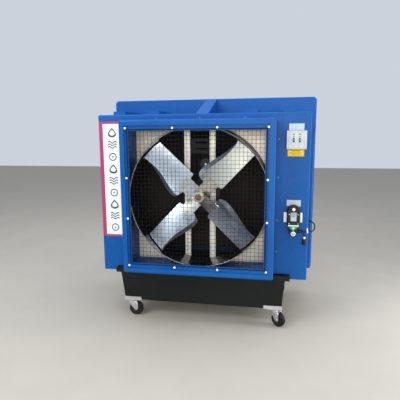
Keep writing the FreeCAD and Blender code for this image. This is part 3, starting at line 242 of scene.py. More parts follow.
RING = painted("ring_black", (0.003, 0.003, 0.003), (0.006, 0.006, 0.006), (0.12, 0.2), 60.0)
WIRE = painted("black_wire_coating", (0.004, 0.004, 0.006), (0.012, 0.012, 0.014), (0.5, 0.65),
               specular=0.15)
NYLON = painted("white_nylon", (0.78, 0.80, 0.82), (0.62, 0.62, 0.60), (0.3, 0.5))
CAP = painted("white_cap", (0.92, 0.95, 1.0), (0.84, 0.88, 0.92), (0.3, 0.45))
BLUE_SCREW = painted("blue_screw", (0.03, 0.13, 0.36), (0.10, 0.20, 0.40), (0.3, 0.45))
IRON = painted("cast_iron", (0.03, 0.03, 0.032), (0.07, 0.065, 0.06), (0.5, 0.7), 160.0, 0.4)
BRACKET = painted("bracket_paint", (0.006, 0.006, 0.007), (0.014, 0.014, 0.014), (0.5, 0.65),
                  specular=0.2)
MOTOR = painted("motor_enamel", (0.008, 0.009, 0.010), (0.020, 0.020, 0.021), (0.4, 0.55),
                specular=0.3)
RUBBER = painted("black_rubber", (0.006, 0.006, 0.007), (0.014, 0.0135, 0.013), (0.6, 0.8), 500.0,
                 specular=0.2)
HUB_GREY = painted("wheel_core", (0.012, 0.012, 0.013), (0.026, 0.026, 0.026), (0.45, 0.6),
                   specular=0.25)
BLACK = painted("black_moulding", (0.005, 0.005, 0.006), (0.012, 0.012, 0.013), specular=0.22)
GREEN = painted("green_band", (0.012, 0.27, 0.10), (0.025, 0.21, 0.09), specular=0.25)
GREY = painted("box_grey", (0.42, 0.46, 0.48), (0.34, 0.37, 0.39), (0.4, 0.55))
PVC = painted("white_pvc", (0.70, 0.70, 0.66), (0.50, 0.49, 0.44))
ORANGE = painted("float_plastic", (0.62, 0.17, 0.03), (0.45, 0.13, 0.03), (0.35, 0.55))

PAPER = painted("pad_paper", (0.016, 0.012, 0.008), (0.034, 0.025, 0.017), (0.85, 0.95), 120.0)
# a darker copy of the pad paper, laid on every other sheet of flutes: painted shade
PAPER_PAINTED_SHADE = painted("pad_paper_painted_shade", (0.009, 0.007, 0.005), (0.02, 0.015, 0.011), (0.85, 0.95),
                     120.0)
WHITE = painted("white_vinyl", (0.72, 0.75, 0.76), (0.62, 0.64, 0.65), grain=120.0)
# the white labels in a dimmed, bluish copy of the white vinyl: painted shade
WHITE_LABEL_SHADE = painted("white_vinyl_painted_shade", (0.35, 0.435, 0.49), (0.29, 0.365, 0.42), grain=120.0)
YELLOW = painted("yellow_vinyl", (0.78, 0.60, 0.002), (0.68, 0.51, 0.004), (0.4, 0.55), 120.0,
                 specular=0.15)
CRIMSON = painted("crimson_print", (0.40, 0.018, 0.085), (0.30, 0.02, 0.10), grain=120.0)
# dark print on the banner and labels; also the painted shade of the motor's vent holes, drawn as dark discs
DARK_PRINT_AND_HOLE_SHADE = painted("dark_print_and_hole_shade", (0.030, 0.038, 0.045), (0.07, 0.08, 0.09), (0.4, 0.55), 120.0)
SOFT_BLUE = painted("pale_blue_print", (0.30, 0.42, 0.55), (0.42, 0.50, 0.58), (0.4, 0.55), 120.0)
RUST = painted("rust_print", (0.30, 0.11, 0.004), (0.22, 0.09, 0.006), (0.4, 0.55), 120.0,
               specular=0.15)

CORNERS = ("front_left", "front_right", "rear_left", "rear_right")
NODES_OF = {
    BLUE: ["main_housing", "fan_shroud", "rear_housing"],
    TANK: ["tank"],
    ZINC: ["orifice_panel", "pad_retainers"],
    BRIGHT_ZINC: ["struts"],
    RING: ["venturi_ring"],
    WIRE: ["grille_frame", "grille_wires"],
    NYLON: ["grille_bolts", "reset_button", "lead_clips"],
    BLUE_SCREW: ["housing_screws"],
    ALLOY: ["fan_blades"],
    HUB_CREAM: ["fan_hub"],
    PLATED: ["panel_rivets", "blade_rivets", "caster_plates", "breaker_ring"]
            + ["caster_fork_" + corner for corner in CORNERS],
    STEEL: ["fan_shaft", "motor_shaft"],
    IRON: ["fan_pulley", "motor_pulley", "shaft_bearings"],
    BRACKET: ["bearing_bracket", "motor_bracket"],
    MOTOR: ["motor_body"],
    RUBBER: ["drive_belt", "supply_lead", "plug_lead"]
            + ["caster_wheel_" + corner for corner in CORNERS],
    PAPER: ["cooling_pads"],
    PVC: ["distribution_pipe", "riser_pipe"],
    BLACK: ["pump_body", "pump_impeller", "drain_plug", "breaker_head", "lead_glands", "supply_plug"],
    BRASS: ["hose_inlet", "float_valve"],
    ORANGE: ["float_arm"],
    GREY: ["switch_box", "switch_cover"],
    TOGGLE: ["fan_toggle", "pump_toggle"],
    WHITE_LABEL_SHADE: ["white_labels"],
    YELLOW: ["caution_label"],
    WHITE: ["banner", "breaker_plate"],
    GREEN: ["breaker_collar"],
}
for material, node_names in NODES_OF.items():
    for node_name in node_names:
        NODES[node_name].data.materials.clear()
        NODES[node_name].data.materials.append(material)


# ------------------------------------------------------------------ camera and light
YAW, DOWN, ROLL = math.radians(10.54), math.radians(9.02), math.radians(0.36)
EYE = (0.492, FRONT - 2.466, SHROUD_LOW.z + 0.909)
FOCAL_LENGTH = 36.0
SENSOR = 36.0


def make_camera():
    """Eye height, to the right of the machine and turned towards it, looking slightly down."""
    lens = bpy.data.cameras.new("camera")
    lens.sensor_width = SENSOR
    lens.lens = FOCAL_LENGTH
    lens.dof.use_dof = False
    camera = bpy.data.objects.new("camera", lens)
    bpy.context.scene.collection.objects.link(camera)
    turn = Matrix.Rotation(YAW, 4, "Z") @ Matrix.Rotation(math.pi / 2 - DOWN, 4, "X")
    camera.matrix_world = Matrix.Translation(EYE) @ turn @ Matrix.Rotation(-ROLL, 4, "Z")
    bpy.context.scene.camera = camera


MIDDLE = (0.0, 0.0, 0.9)
# name, place, what it looks at, size, watts, colour
LIGHTS = [
    ("key", (-3.0, -3.6, 4.0), MIDDLE, (2.6, 2.6), 190.0, (0.93, 0.97, 1.0)),
    ("front", (0.5, -4.8, 1.5), MIDDLE, (2.4, 1.8), 112.0, (1.0, 0.96, 0.90)),
    ("bounce", (3.4, -2.6, 0.7), MIDDLE, (1.6, 1.2), 45.0, (1.0, 0.90, 0.72)),
    ("ground", (0.9, -1.75, 0.03), (0.9, -1.75, 2.0), (1.5, 0.7), 6.0, (1.0, 0.86, 0.60)),
    ("rim", (2.6, -0.25, 1.2), (0.7, -0.35, 1.0), (0.35, 2.2), 45.0, (0.95, 0.98, 1.0)),
    ("sky", (0.0, -0.5, 5.0), (0.0, 0.0, 0.0), (5.0, 4.0), 165.0, (0.85, 0.93, 1.0)),
]
FLOOR_HALF = 14.0


def area_light(name, place, target, size, power, colour):
    lamp = bpy.data.lights.new(name, "AREA")
    lamp.shape = "RECTANGLE"
    lamp.size, lamp.size_y = size
    lamp.energy = power
    lamp.color = colour
    obj = bpy.data.objects.new(name, lamp)
    bpy.context.scene.collection.objects.link(obj)
    obj.location = place
    obj.rotation_euler = (Vector(target) - Vector(place)).to_track_quat("-Z", "Y").to_euler()


def make_stage():
    """A pale concrete floor, a dull sky and soft lights."""
    mesh = bpy.data.meshes.new("floor")
    shape = bmesh.new()
    bmesh.ops.create_grid(shape, x_segments=1, y_segments=1, size=FLOOR_HALF)
    shape.to_mesh(mesh)
    shape.free()
    floor = bpy.data.objects.new("floor", mesh)
    bpy.context.scene.collection.objects.link(floor)
    paint = Paint("floor", roughness=0.85)
    paint.colour(paint.mix(paint.noise(3.0, 5.0, 0.6), (0.35, 0.320, 0.278), (0.405, 0.370, 0.323)))
    mesh.materials.append(paint.material)
    world = bpy.data.worlds.new("studio")
    bpy.context.scene.world = world
    world.use_nodes = True
    background = world.node_tree.nodes["Background"]
    background.inputs["Color"].default_value = (0.80, 0.86, 0.95, 1.0)
    background.inputs["Strength"].default_value = 0.75
    for light in LIGHTS:
        area_light(*light)


# ------------------------------------------------------------------ leads
def cord_curve(name, points, diameter, material):
    """A round cord along a smooth curve that starts and ends at the first and the last point."""
    data = bpy.data.curves.new(name, "CURVE")
    data.dimensions = "3D"
    data.resolution_u = 10
    data.bevel_depth = diameter / 2
    data.bevel_resolution = 5
    data.use_fill_caps = True
    line = data.splines.new("NURBS")
    line.points.add(len(points) - 1)
    for point, place in zip(line.points, points):
        point.co = (*place, 1.0)
    line.order_u = 3
    line.use_endpoint_u = True
    data.materials.append(material)
    obj = bpy.data.objects.new(name, data)
    bpy.context.scene.collection.objects.link(obj)
    return obj


BREAKER_X = (BREAKER_LOW.x + BREAKER_HIGH.x) / 2
BREAKER_SEAT = WING - 3 * MM
# the slanting right-hand side of the breaker's head, as shares of its width and height
FLANK_UPPER, FLANK_LOWER = (0.5, 0.62), (0.2, 0.97)
# a lead's gland on it: share of the way down, depth in front of the seat and reach, in millimetres
SUPPLY_GLAND, PLUG_GLAND = (0.5, 11, 12), (0.72, 7, 6)


def breaker_flank():
    """The slanting side of the breaker's head: a point by its share down, and its outward way."""
    width, height = BREAKER_HIGH.x - BREAKER_LOW.x, BREAKER_HIGH.z - BREAKER_LOW.z
    upper, lower = (Vector((BREAKER_X + across * width, BREAKER_SEAT, BREAKER_HIGH.z - down * height))
                    for across, down in (FLANK_UPPER, FLANK_LOWER))
    along = lower - upper
    return lambda share: upper + along * share, Vector((-along.z, 0, along.x)).normalized()


def gland_seat(gland):
    """Where a gland sits on the breaker's flank, and which way it points."""
    share, depth, _ = gland
    flank, out = breaker_flank()
    return flank(share) + Vector((0, -depth * MM, 0)), out


# the straight starts of the leads, out of their glands
SUPPLY_START, PLUG_START = 36 * MM, 9.75 * MM
# right of the wing's edge, behind the wing's face and above the breaker's foot, in millimetres
SUPPLY_ROUTE = [(12.5, -8, 26.5), (35.5, 12, 34.5), (46.5, 46, 46.5), (48.5, 88, 57.5), (42.5, 141, 61.5)]
# right of the edge, from the gland to the point before it, above the foot, in millimetres
SHOULDER_ENTRY = (18.5, -51, 58.5)
SHOULDER_GLAND = 14
# right of and above the pigtail's gland, in millimetres
PLUG_ROUTE = [(23.2, -2.9), (37.2, -7.9), (44.7, -19.4), (44.7, -30.9)]


def supply_entry():
    """The outer end of the gland in the shoulder."""
    across, _, up = SHOULDER_ENTRY
    return Vector((EDGE + across * MM, SHOULDER_FRONT - SHOULDER_GLAND * MM, BREAKER_LOW.z + up * MM))


def make_leads():
    """The supply lead round the right-hand edge, and the short tail that ends in a plug."""
    seat, out = gland_seat(SUPPLY_GLAND)
    start = seat + out * SUPPLY_GLAND[2] * MM
    entry = supply_entry()
    supply = [start, start + out * SUPPLY_START]
    supply += [Vector((EDGE + a * MM, WING + b * MM, BREAKER_LOW.z + c * MM)) for a, b, c in SUPPLY_ROUTE]
    supply += [entry + Vector((0, SHOULDER_ENTRY[1] * MM, 0)), entry]
    lead = cord_curve("supply_cable", supply, 8 * MM, RUBBER)
    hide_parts("supply_lead")
    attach(lead, "cabinet")
    seat, out = gland_seat(PLUG_GLAND)
    start = seat + out * PLUG_GLAND[2] * MM
    plug = [start, start + out * PLUG_START]
    plug += [start + Vector((a * MM, 0, c * MM)) for a, c in PLUG_ROUTE]
    tail = cord_curve("plug_cable", plug, 5 * MM, RUBBER)
    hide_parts("plug_lead")
    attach(tail, "cabinet")


# ------------------------------------------------------------------ mesh tools
class Build:
    """A mesh under construction, made of prisms, blocks, turned shapes and tubes."""

    def __init__(self, *materials):
        self.shape = bmesh.new()
        self.materials = materials

    def face(self, loop, index=0):
        made = self.shape.faces.new(loop)
        made.material_index = index
        return made

    def prism(self, outline, place, depth, bevel=0.0, index=0):
        """Extrude a closed outline of (a, b) pairs; place(a, b, h) gives the point at a height."""
        rings = [[self.shape.verts.new(place(a, b, h)) for a, b in outline] for h in (0.0, depth)]
        self.face(rings[0][::-1], index)
        top = self.face(rings[1], index)
        for i in range(len(outline)):
            j = (i + 1) % len(outline)
            self.face((rings[0][i], rings[0][j], rings[1][j], rings[1][i]), index)
        if bevel:
            bmesh.ops.bevel(self.shape, geom=list(top.edges), offset=bevel, segments=3, profile=0.5,
                            affect="EDGES", material=index)

    def band(self, outer, inner, place, depth, index=0):
        """A raised ring between two outlines with equally many points."""
        rings = [[self.shape.verts.new(place(a, b, h)) for a, b in line]
                 for line, h in ((outer, 0.0), (outer, depth), (inner, depth), (inner, 0.0))]
        for low, high in zip(rings, rings[1:] + rings[:1]):
            for i in range(len(outer)):
                j = (i + 1) % len(outer)
                self.face((low[i], low[j], high[j], high[i]), index)

    def rim(self, front, back):
        """Join the borders of two grids of vertices that have the same rows and columns."""
        rows, columns = len(front) - 1, len(front[0]) - 1
        border = [(0, j) for j in range(columns + 1)] + [(i, columns) for i in range(1, rows + 1)]
        border += [(rows, j) for j in range(columns - 1, -1, -1)] + [(i, 0) for i in range(rows - 1, 0, -1)]
        for (a, b), (c, d) in zip(border, border[1:] + border[:1]):
            self.face((front[a][b], front[c][d], back[c][d], back[a][b]))

    def block(self, low, high, bevel=0.0, index=0):
        made = bmesh.ops.create_cube(self.shape, size=1.0)["verts"]
        low, high = Vector(low), Vector(high)
        for vert in made:
            vert.co = Vector(((low[i] + high[i]) / 2 + vert.co[i] * (high[i] - low[i]) for i in range(3)))
        for item in {f for v in made for f in v.link_faces}:
            item.material_index = index
        if bevel:
            bmesh.ops.bevel(self.shape, geom=list({e for v in made for e in v.link_edges}), offset=bevel,
                            segments=3, profile=0.5, affect="EDGES", material=index)

    def lathe(self, profile, origin, axis, steps=32, index=0, closed=False):
        """Turn (along, radius) pairs round an axis."""
        axis = Vector(axis).normalized()
        side = axis.orthogonal().normalized()
        other = axis.cross(side)
        rings = []
        for along, radius in profile:
            middle = Vector(origin) + axis * along
            turns = [0.0] if radius < 1e-7 else [2 * math.pi * i / steps for i in range(steps)]
            rings.append([self.shape.verts.new(middle + (side * math.cos(t) + other * math.sin(t)) * radius)
                          for t in turns])
        for low, high in zip(rings, rings[1:] + rings[:1] if closed else rings[1:]):
            for i in range(steps):
                j = (i + 1) % steps
                loop = dict.fromkeys((low[i % len(low)], low[j % len(low)], high[j % len(high)],
                                      high[i % len(high)]))
                if len(loop) > 2:
                    self.face(tuple(loop), index)

    def hexagon(self, origin, axis, across, depth, index=0):
        """A bolt head with a chamfered hexagon and a washer under it."""
        radius = across / math.sqrt(3)
        washer, chamfer = 0.25 * depth, 0.9 * depth
        self.lathe([(0.0, 0.0), (0.0, radius * 1.25), (washer, radius * 1.25), (washer, 0.0)],
                   origin, axis, 20, index)
        self.lathe([(washer, 0.0), (washer, radius), (chamfer, radius), (depth, 0.8 * radius), (depth, 0.0)],
                   origin, axis, 6, index)

    def finish(self, name, body, slot_name, *stands_for, angle=38.0):
        bmesh.ops.recalc_face_normals(self.shape, faces=self.shape.faces[:])
        mesh = bpy.data.meshes.new(name)
        self.shape.to_mesh(mesh)
        self.shape.free()
        for material in self.materials:
            mesh.materials.append(material)
        mesh.shade_smooth()
        mesh.set_sharp_from_angle(angle=math.radians(angle))
        obj = bpy.data.objects.new(name, mesh)
        bpy.context.scene.collection.objects.link(obj)
        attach(obj, body)
        if stands_for:
            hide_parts(*stands_for)
        return obj


def in_mm(pairs):
    return [(a * MM, b * MM) for a, b in pairs]


def rectangle(low_a, high_a, low_b, high_b):
    return [(low_a, low_b), (high_a, low_b), (high_a, high_b), (low_a, high_b)]


def circle(radius, steps=24):
    return [(radius * math.cos(2 * math.pi * i / steps), radius * math.sin(2 * math.pi * i / steps))
            for i in range(steps)]


def on_face(x, y, z):
    """Lay an outline on a face that looks towards -Y: right, up and out of the face, in metres."""
    return lambda a, b, h: Vector((x + a, y - h, z + b))


def front_of(node):
    """Lay an outline on the front of a node, from its middle."""
    middle = centre(node)
    return on_face(middle.x, corners(node)[0].y, middle.z)


def hermite(table, x):
    """A smooth curve through (x, y) pairs."""
    last = len(table) - 1
    i = max(0, min(last - 1, sum(1 for at, _ in table if at <= x) - 1))

    def slope(k):
        low, high = table[max(0, k - 1)], table[min(last, k + 1)]
        return (high[1] - low[1]) / (high[0] - low[0])
    (x0, y0), (x1, y1) = table[i], table[i + 1]
    span = x1 - x0
    t = (x - x0) / span
    return ((2 * t**3 - 3 * t**2 + 1) * y0 + (t**3 - 2 * t**2 + t) * span * slope(i)
            + (3 * t**2 - 2 * t**3) * y1 + (t**3 - t**2) * span * slope(i + 1))


# ------------------------------------------------------------------ fan
TIP = 456 * MM
CHORD, CAMBER, BLADE_SHEET = 270 * MM, 14 * MM, 2 * MM
BLADE_ANGLES = [46.5 + 90 * i for i in range(4)]
BLADE_ROOT = 0.2225
# degrees near the root and at the tip, and the share of the tip where the twist starts
ROOT_PITCH, TIP_PITCH, TWIST_START = 33, 23, 0.35
ROUND_TIP_START = 0.8
# the leading edge: share of the tip, and its distance from the blade's axis as a share of the chord
LEADING_EDGE = [(0.222, 0.20), (0.235, 0.33), (0.29, 0.405), (0.40, 0.413), (0.57, 0.355), (0.73, 0.287),
                (0.85, 0.252), (0.93, 0.258), (1.03, 0.30)]
ROOT_CORNER = (0.30, -0.272)
# the strip bent back along the leading edge: share of the tip, and its width
BENT_STRIP = [(0.22, 6 * MM), (0.30, 24 * MM), (0.45, 30 * MM), (0.62, 27 * MM), (0.75, 18 * MM),
              (0.88, 7 * MM), (1.03, 3 * MM)]
BEND_SLOPE = 1.5
BLADE_ROWS, FACE_COLUMNS, STRIP_COLUMNS = 40, 18, 4


def blade_pitch(share):
    fall = (share - TWIST_START) * 10 / 0.67
    return math.radians(min(ROOT_PITCH, max(TIP_PITCH, ROOT_PITCH - fall)))


def blade_point(share, side, edge):
    """A point of the blade's front face: how far out, how far round and how deep."""
    pitch = blade_pitch(share)
    across = side
    for _ in range(4):
        sag = CAMBER * (1 - (2 * across / CHORD) ** 2)
        across = (side - sag * math.sin(pitch)) / math.cos(pitch)
    deep = sag * math.cos(pitch) - across * math.sin(pitch)
    strip = hermite(BENT_STRIP, share)
    deep += max(0.0, side - (edge - strip)) * BEND_SLOPE
    out = share * TIP
    round_tip = math.sqrt(TIP ** 2 - side ** 2)
    blend = max(0.0, (share - ROUND_TIP_START) / (1 - ROUND_TIP_START))
    return out * (1 - blend) + round_tip * blend, side, deep


def blade_row(share):
    """Where the points of one row lie across the blade: the face first, then the bent strip."""
    edge = hermite(LEADING_EDGE, share) * CHORD
    first, start = LEADING_EDGE[0]
    reach = min(1.0, (share - first) / (ROOT_CORNER[0] - first))
    low = (start + (ROOT_CORNER[1] - start) * reach) * CHORD
    strip = min(hermite(BENT_STRIP, share), 0.4 * (edge - low))
    row = [low + (edge - strip - low) * j / FACE_COLUMNS for j in range(FACE_COLUMNS + 1)]
    row += [edge - strip * (1 - j / STRIP_COLUMNS) for j in range(1, STRIP_COLUMNS + 1)]
    return edge, row


def make_blades():
    """Four stamped blades: cambered, twisted, with a strip bent back along the leading edge, drawn in a
    darker copy of the alloy as painted shade.
    """
    build = Build(ALLOY, ALLOY_PAINTED_SHADE)
    for angle in BLADE_ANGLES:
        turn = math.radians(angle)

        def spun(point, back):
            out, side, deep = point
            return Vector((out * math.cos(turn) - side * math.sin(turn), FAN_PLANE + deep + back,
                           HUB.z + out * math.sin(turn) + side * math.cos(turn)))
        sheets = []
        for back in (0.0, BLADE_SHEET):
            grid = []
            for i in range(BLADE_ROWS + 1):
                share = BLADE_ROOT + (1.0 - BLADE_ROOT) * i / BLADE_ROWS
                edge, row = blade_row(share)
                grid.append([build.shape.verts.new(spun(blade_point(share, side, edge), back))
                             for side in row])
            sheets.append(grid)
            for i in range(BLADE_ROWS):
                for j in range(FACE_COLUMNS + STRIP_COLUMNS):
                    # the bent strip's faces take the dark copy of the alloy, painted shade
                    build.face((grid[i][j], grid[i][j + 1], grid[i + 1][j + 1], grid[i + 1][j]),
                               1 if j >= FACE_COLUMNS else 0)
        build.rim(*sheets)
    build.finish("fan_blades_rolled", "fan_rotor", "blade_alloy", "fan_blades", angle=24)


HUB_NOSE = 22 * MM
BOSS_RIM = [(0, 0), (0, 34), (1.5, 34), (3, 32), (3, 22), (0, 20)]
NUT_ACROSS, NUT_DEPTH = 30 * MM, 11 * MM
STUD = [(11, 0), (11, 7), (15, 7), (16.5, 5), (16.5, 0)]


def make_hub_details():
    """The rusty centre nut on the boss, its stud and the turned rim round it."""
    build = Build(RUSTED, LIP)
    nose = (0.0, FAN_PLANE - HUB_NOSE, HUB.z)
    forward = (0, -1, 0)
    build.lathe(in_mm(BOSS_RIM), nose, forward, 40, 1)
    build.hexagon(nose, forward, NUT_ACROSS, NUT_DEPTH)
    build.lathe(in_mm(STUD), nose, forward, 24)
    build.finish("hub_nut", "fan_rotor", "brass_fitting")


LIP_RADIUS, LIP_BEAD, LIP_INSET = 468 * MM, 3.2 * MM, 2.2 * MM


def make_ring_lip():
    """The bright rolled edge along the front of the venturi ring."""
    build = Build(LIP)
    section = [(along, LIP_RADIUS + across) for along, across in circle(LIP_BEAD, 10)]
    build.lathe(section, (0, corners("venturi_ring")[0].y + LIP_INSET, HUB.z), (0, -1, 0), 128, closed=True)
    build.finish("ring_rolled_lip", "cabinet", "galvanised")


# ------------------------------------------------------------------ grille caps
CAP_OUTSET, CAP_SEAT = 5.44 * MM, 5.4 * MM
CAP_DOME = [(0, 0), (0, 6.9), (1.0, 7.1), (1.6, 6.8), (2.6, 6.2), (4.2, 4.8), (5.2, 2.7), (5.5, 0)]
CAP_SHANK = [(0, 0), (0, 2.6), (-8, 2.6), (-8, 0)]
# as shares of the way from the fan's axis to the row of bolts
LEVEL_ROWS, UPRIGHT_ROWS = (-1, -0.314, 0.314, 1), (-0.295, 0.295)


def make_grille_caps():
    """The twelve white domes that hold the grille's rim."""
    low, high = corners("grille_frame")
    side = (high.x - low.x) / 2 + CAP_OUTSET
    spots = [(x, z) for z in (-1, 1) for x in LEVEL_ROWS]
    spots += [(x, z) for x in (-1, 1) for z in UPRIGHT_ROWS]
    build = Build(CAP)
    for x, z in spots:
        spot = (x * side, FRONT + CAP_SEAT, HUB.z + z * side)
        build.lathe(in_mm(CAP_DOME), spot, (0, -1, 0), 28)
        build.lathe(in_mm(CAP_SHANK), spot, (0, -1, 0), 16)
    build.finish("grille_caps", "cabinet", "white_nylon", "grille_bolts")


# ------------------------------------------------------------------ banner and labels
BANNER_PRINT, LABEL_PRINT = 0.3 * MM, 0.25 * MM
BORDER_SIDE, BORDER_END = 25 * MM, 15 * MM
MARKS, FIRST_MARK, MARK_PITCH, MARK_SHIFT = 9, 74 * MM, 84 * MM, 3 * MM


def droplet(width, height, steps=28):
    """The outline of a drop with its point at the top."""
    points = []
    for i in range(steps):
        t = 2 * math.pi * i / steps
        points.append((0.62 * width * math.sin(t) * abs(math.sin(t / 2)) ** 1.1, height * 0.5 * math.cos(t)))
    return points


def wave(width, thick, lift, steps=18):
    """The upper and the lower line of a wave."""
    top = [(-width / 2 + width * i / steps, lift * math.sin(3 * math.pi * i / steps) + thick / 2)
           for i in range(steps + 1)]
    return top, [(a, b - thick) for a, b in top]


def make_banner_print():
    """A crimson border and plain marks for air and water on the long white banner."""
    low, high = corners("banner")
    wide, tall = (high.x - low.x) / 2, (high.z - low.z) / 2
    build = Build(CRIMSON, DARK_PRINT_AND_HOLE_SHADE)
    build.band(rectangle(-wide, wide, -tall, tall),
               rectangle(BORDER_SIDE - wide, wide - BORDER_SIDE, BORDER_END - tall, tall - BORDER_END),
               front_of("banner"), BANNER_PRINT)
    for i in range(MARKS):
        place = on_face(centre("banner").x + MARK_SHIFT, low.y, high.z - FIRST_MARK - MARK_PITCH * i)
        if i % 3 == 0:
            build.band(droplet(64 * MM, 66 * MM), droplet(42 * MM, 40 * MM), place, BANNER_PRINT, 1)
        elif i % 3 == 1:
            top, under = wave(64 * MM, 8 * MM, 6 * MM)
            for lift in (-18 * MM, 0, 18 * MM):
                for k in range(len(top) - 1):
                    quad = [under[k], under[k + 1], top[k + 1], top[k]]
                    build.prism([(a, b + lift) for a, b in quad], place, BANNER_PRINT, index=1)
        else:
            build.band(circle(28 * MM), circle(21 * MM), place, BANNER_PRINT, 1)
            build.prism(circle(6 * MM, 14), place, BANNER_PRINT, index=1)
    build.finish("banner_print", "cabinet", "banner_print")


# bars in the place of print: left, right, height and stroke from the middle, in millimetres
WHITE_LABEL_BARS = [(-38, -8, 12, 5), (0, 36, 12, 5), (-38, 30, 2, 2.2), (-38, 36, -4, 2.2),
                    (-38, 20, -10, 2.2)]
YELLOW_LABEL_BARS = [(-32, 26, 13, 5), (-40, 40, 3, 2.4), (-40, 34, -4, 2.4), (-30, 40, -11, 2.4)]
BREAKER_BARS = [(-14, 14, 48, 4), (-14, 8, 40, 2.5), (-14, 14, 34, 2.5), (-14, 10, 28, 2.5)]
BREAKER_BLUE_BARS = [(-14, 14, 18, 5), (-14, 14, 9, 3)]
# how far the white label's middle is below the top of its node, and the breaker label's below its head's
WHITE_LABEL_DROP, BREAKER_LABEL_DROP, LABEL_LIFT = 21.5 * MM, 104 * MM, 1 * MM
YELLOW_FRAME = (50, 19.5, 2)
# the switch cover in millimetres: the dashes round it, the columns of its levers and its screws
DASH_SQUARE, DASHES, DASH_PITCH, DASH_LENGTH, DASH_STROKE = 50, 16, 6.4, 4, 1.2
LEVER_COLUMNS = (-18.5, 18.5)
COVER_SCREWS = [(a, b) for a in (-55, 55) for b in (-51, 51)]
COVER_SCREW = [(0, 0), (0, 3.4), (1.0, 3.2), (1.9, 1.8), (2.1, 0)]


def print_bars(build, place, bars, index=0):
    for left, right, level, stroke in bars:
        build.prism(rectangle(left * MM, right * MM, (level - stroke / 2) * MM, (level + stroke / 2) * MM),
                    place, LABEL_PRINT, index=index)


def make_label_print():
    """Plain bars on the switch cover, the labels and the breaker, and the cover's screws."""
    build = Build(DARK_PRINT_AND_HOLE_SHADE, SOFT_BLUE, RUST, PLATED)
    cover = front_of("switch_cover")
    for i in range(DASHES):
        start = i * DASH_PITCH - DASH_SQUARE
        for level in (-DASH_SQUARE, DASH_SQUARE):
            print_bars(build, cover, [(start, start + DASH_LENGTH, level, DASH_STROKE)])
        for across in (-DASH_SQUARE, DASH_SQUARE):
            print_bars(build, cover, [(across - DASH_STROKE / 2, across + DASH_STROKE / 2,
                                       start + DASH_LENGTH / 2, DASH_LENGTH)])
    for x in LEVER_COLUMNS:
        print_bars(build, cover, [(x - 7, x + 7, 36, 6), (x - 5, x + 5, 23, 4), (x - 6, x + 6, -16, 1.6)])
        print_bars(build, cover, [(x - 14, x + 14, -24, 4), (x - 14, x + 14, -34, 4)], 1)
    for a, b in COVER_SCREWS:
        build.lathe(in_mm(COVER_SCREW), cover(a * MM, b * MM, 0), (0, -1, 0), 16, 3)
    white = on_face(centre("switch_cover").x, WING - LABEL_LIFT,
                    corners("white_labels")[1].z - WHITE_LABEL_DROP)
    print_bars(build, white, WHITE_LABEL_BARS, 1)
    yellow = front_of("caution_label")
    print_bars(build, yellow, YELLOW_LABEL_BARS, 2)
    wide, tall, line = (size * MM for size in YELLOW_FRAME)
    build.band(rectangle(-wide, wide, -tall, tall),
               rectangle(line - wide, wide - line, line - tall, tall - line), yellow, LABEL_PRINT, 2)
    breaker = on_face(BREAKER_X, BREAKER_LOW.y - LABEL_LIFT, BREAKER_HIGH.z - BREAKER_LABEL_DROP)
    print_bars(build, breaker, BREAKER_BARS)
    print_bars(build, breaker, BREAKER_BLUE_BARS, 1)
    build.finish("label_bars", "cabinet", "toggle_black")


# ------------------------------------------------------------------ breaker
# under the green collar, in millimetres: the white strip, the arrow below it
STRIP, ARROW = rectangle(-34, 34, -6, 0.5), [(-9, -14), (9, -14), (0, -28)]
BREAKER_SCREWS = [(a, level) for a in (-28, 28) for level in (-60, -122)]
BREAKER_SCREW = [(0, 0), (0, 3.2), (0.8, 3.0), (0.8, 1.4), (0.1, 1.2), (0.1, 0)]
VENTS, VENT_PITCH, VENT_LENGTH = 5, 17, 8
FIRST_VENT = (-38, 62)
EYELET_RIVET = [(0, 0), (0, 5), (3, 4.4), (3.6, 0)]
# the eyelet's radius, and its bead's half depth and half width, in millimetres
EYELET, EYELET_DEPTH, EYELET_WIDTH = 12, 3, 3.4


def make_breaker_details():
    """The breaker's white strip and arrow, screws, vents and eyelet."""
    build = Build(WHITE, PLATED, BLACK)
    collar_low, collar_high = corners("breaker_collar")
    under = on_face(BREAKER_X, collar_low.y, collar_high.z)
    build.prism(in_mm(STRIP), under, 1.2 * MM, 0.3 * MM)
    build.prism(in_mm(ARROW), under, 1.0 * MM, 0.2 * MM)
    for a, level in BREAKER_SCREWS:
        spot = (BREAKER_X + a * MM, BREAKER_LOW.y, BREAKER_HIGH.z + level * MM)
        build.lathe(in_mm(BREAKER_SCREW), spot, (0, -1, 0), 16, 1)
    for i in range(VENTS):
        vent = BREAKER_LOW + Vector((0, 0, FIRST_VENT[1] * MM))
        vent.x = BREAKER_X + (FIRST_VENT[0] + i * VENT_PITCH) * MM
        build.block(vent + Vector((0, -0.8 * MM, 0)), vent + Vector((VENT_LENGTH * MM, 0.4 * MM, 2 * MM)),
                    0.3 * MM, 2)
    build.finish("breaker_details", "cabinet", "button_white")
    eye = Build(PLATED, WHITE)
    middle = centre("breaker_ring")
    section = [(a * EYELET_DEPTH, EYELET + b * EYELET_WIDTH) for a, b in circle(1.0, 12)]
    eye.lathe(in_mm(section), middle, (0, -1, 0), 32, 1, closed=True)
    eye.lathe(in_mm(EYELET_RIVET), middle, (0, -1, 0), 20)
    eye.finish("breaker_eyelet", "cabinet", "box_grey", "breaker_ring")


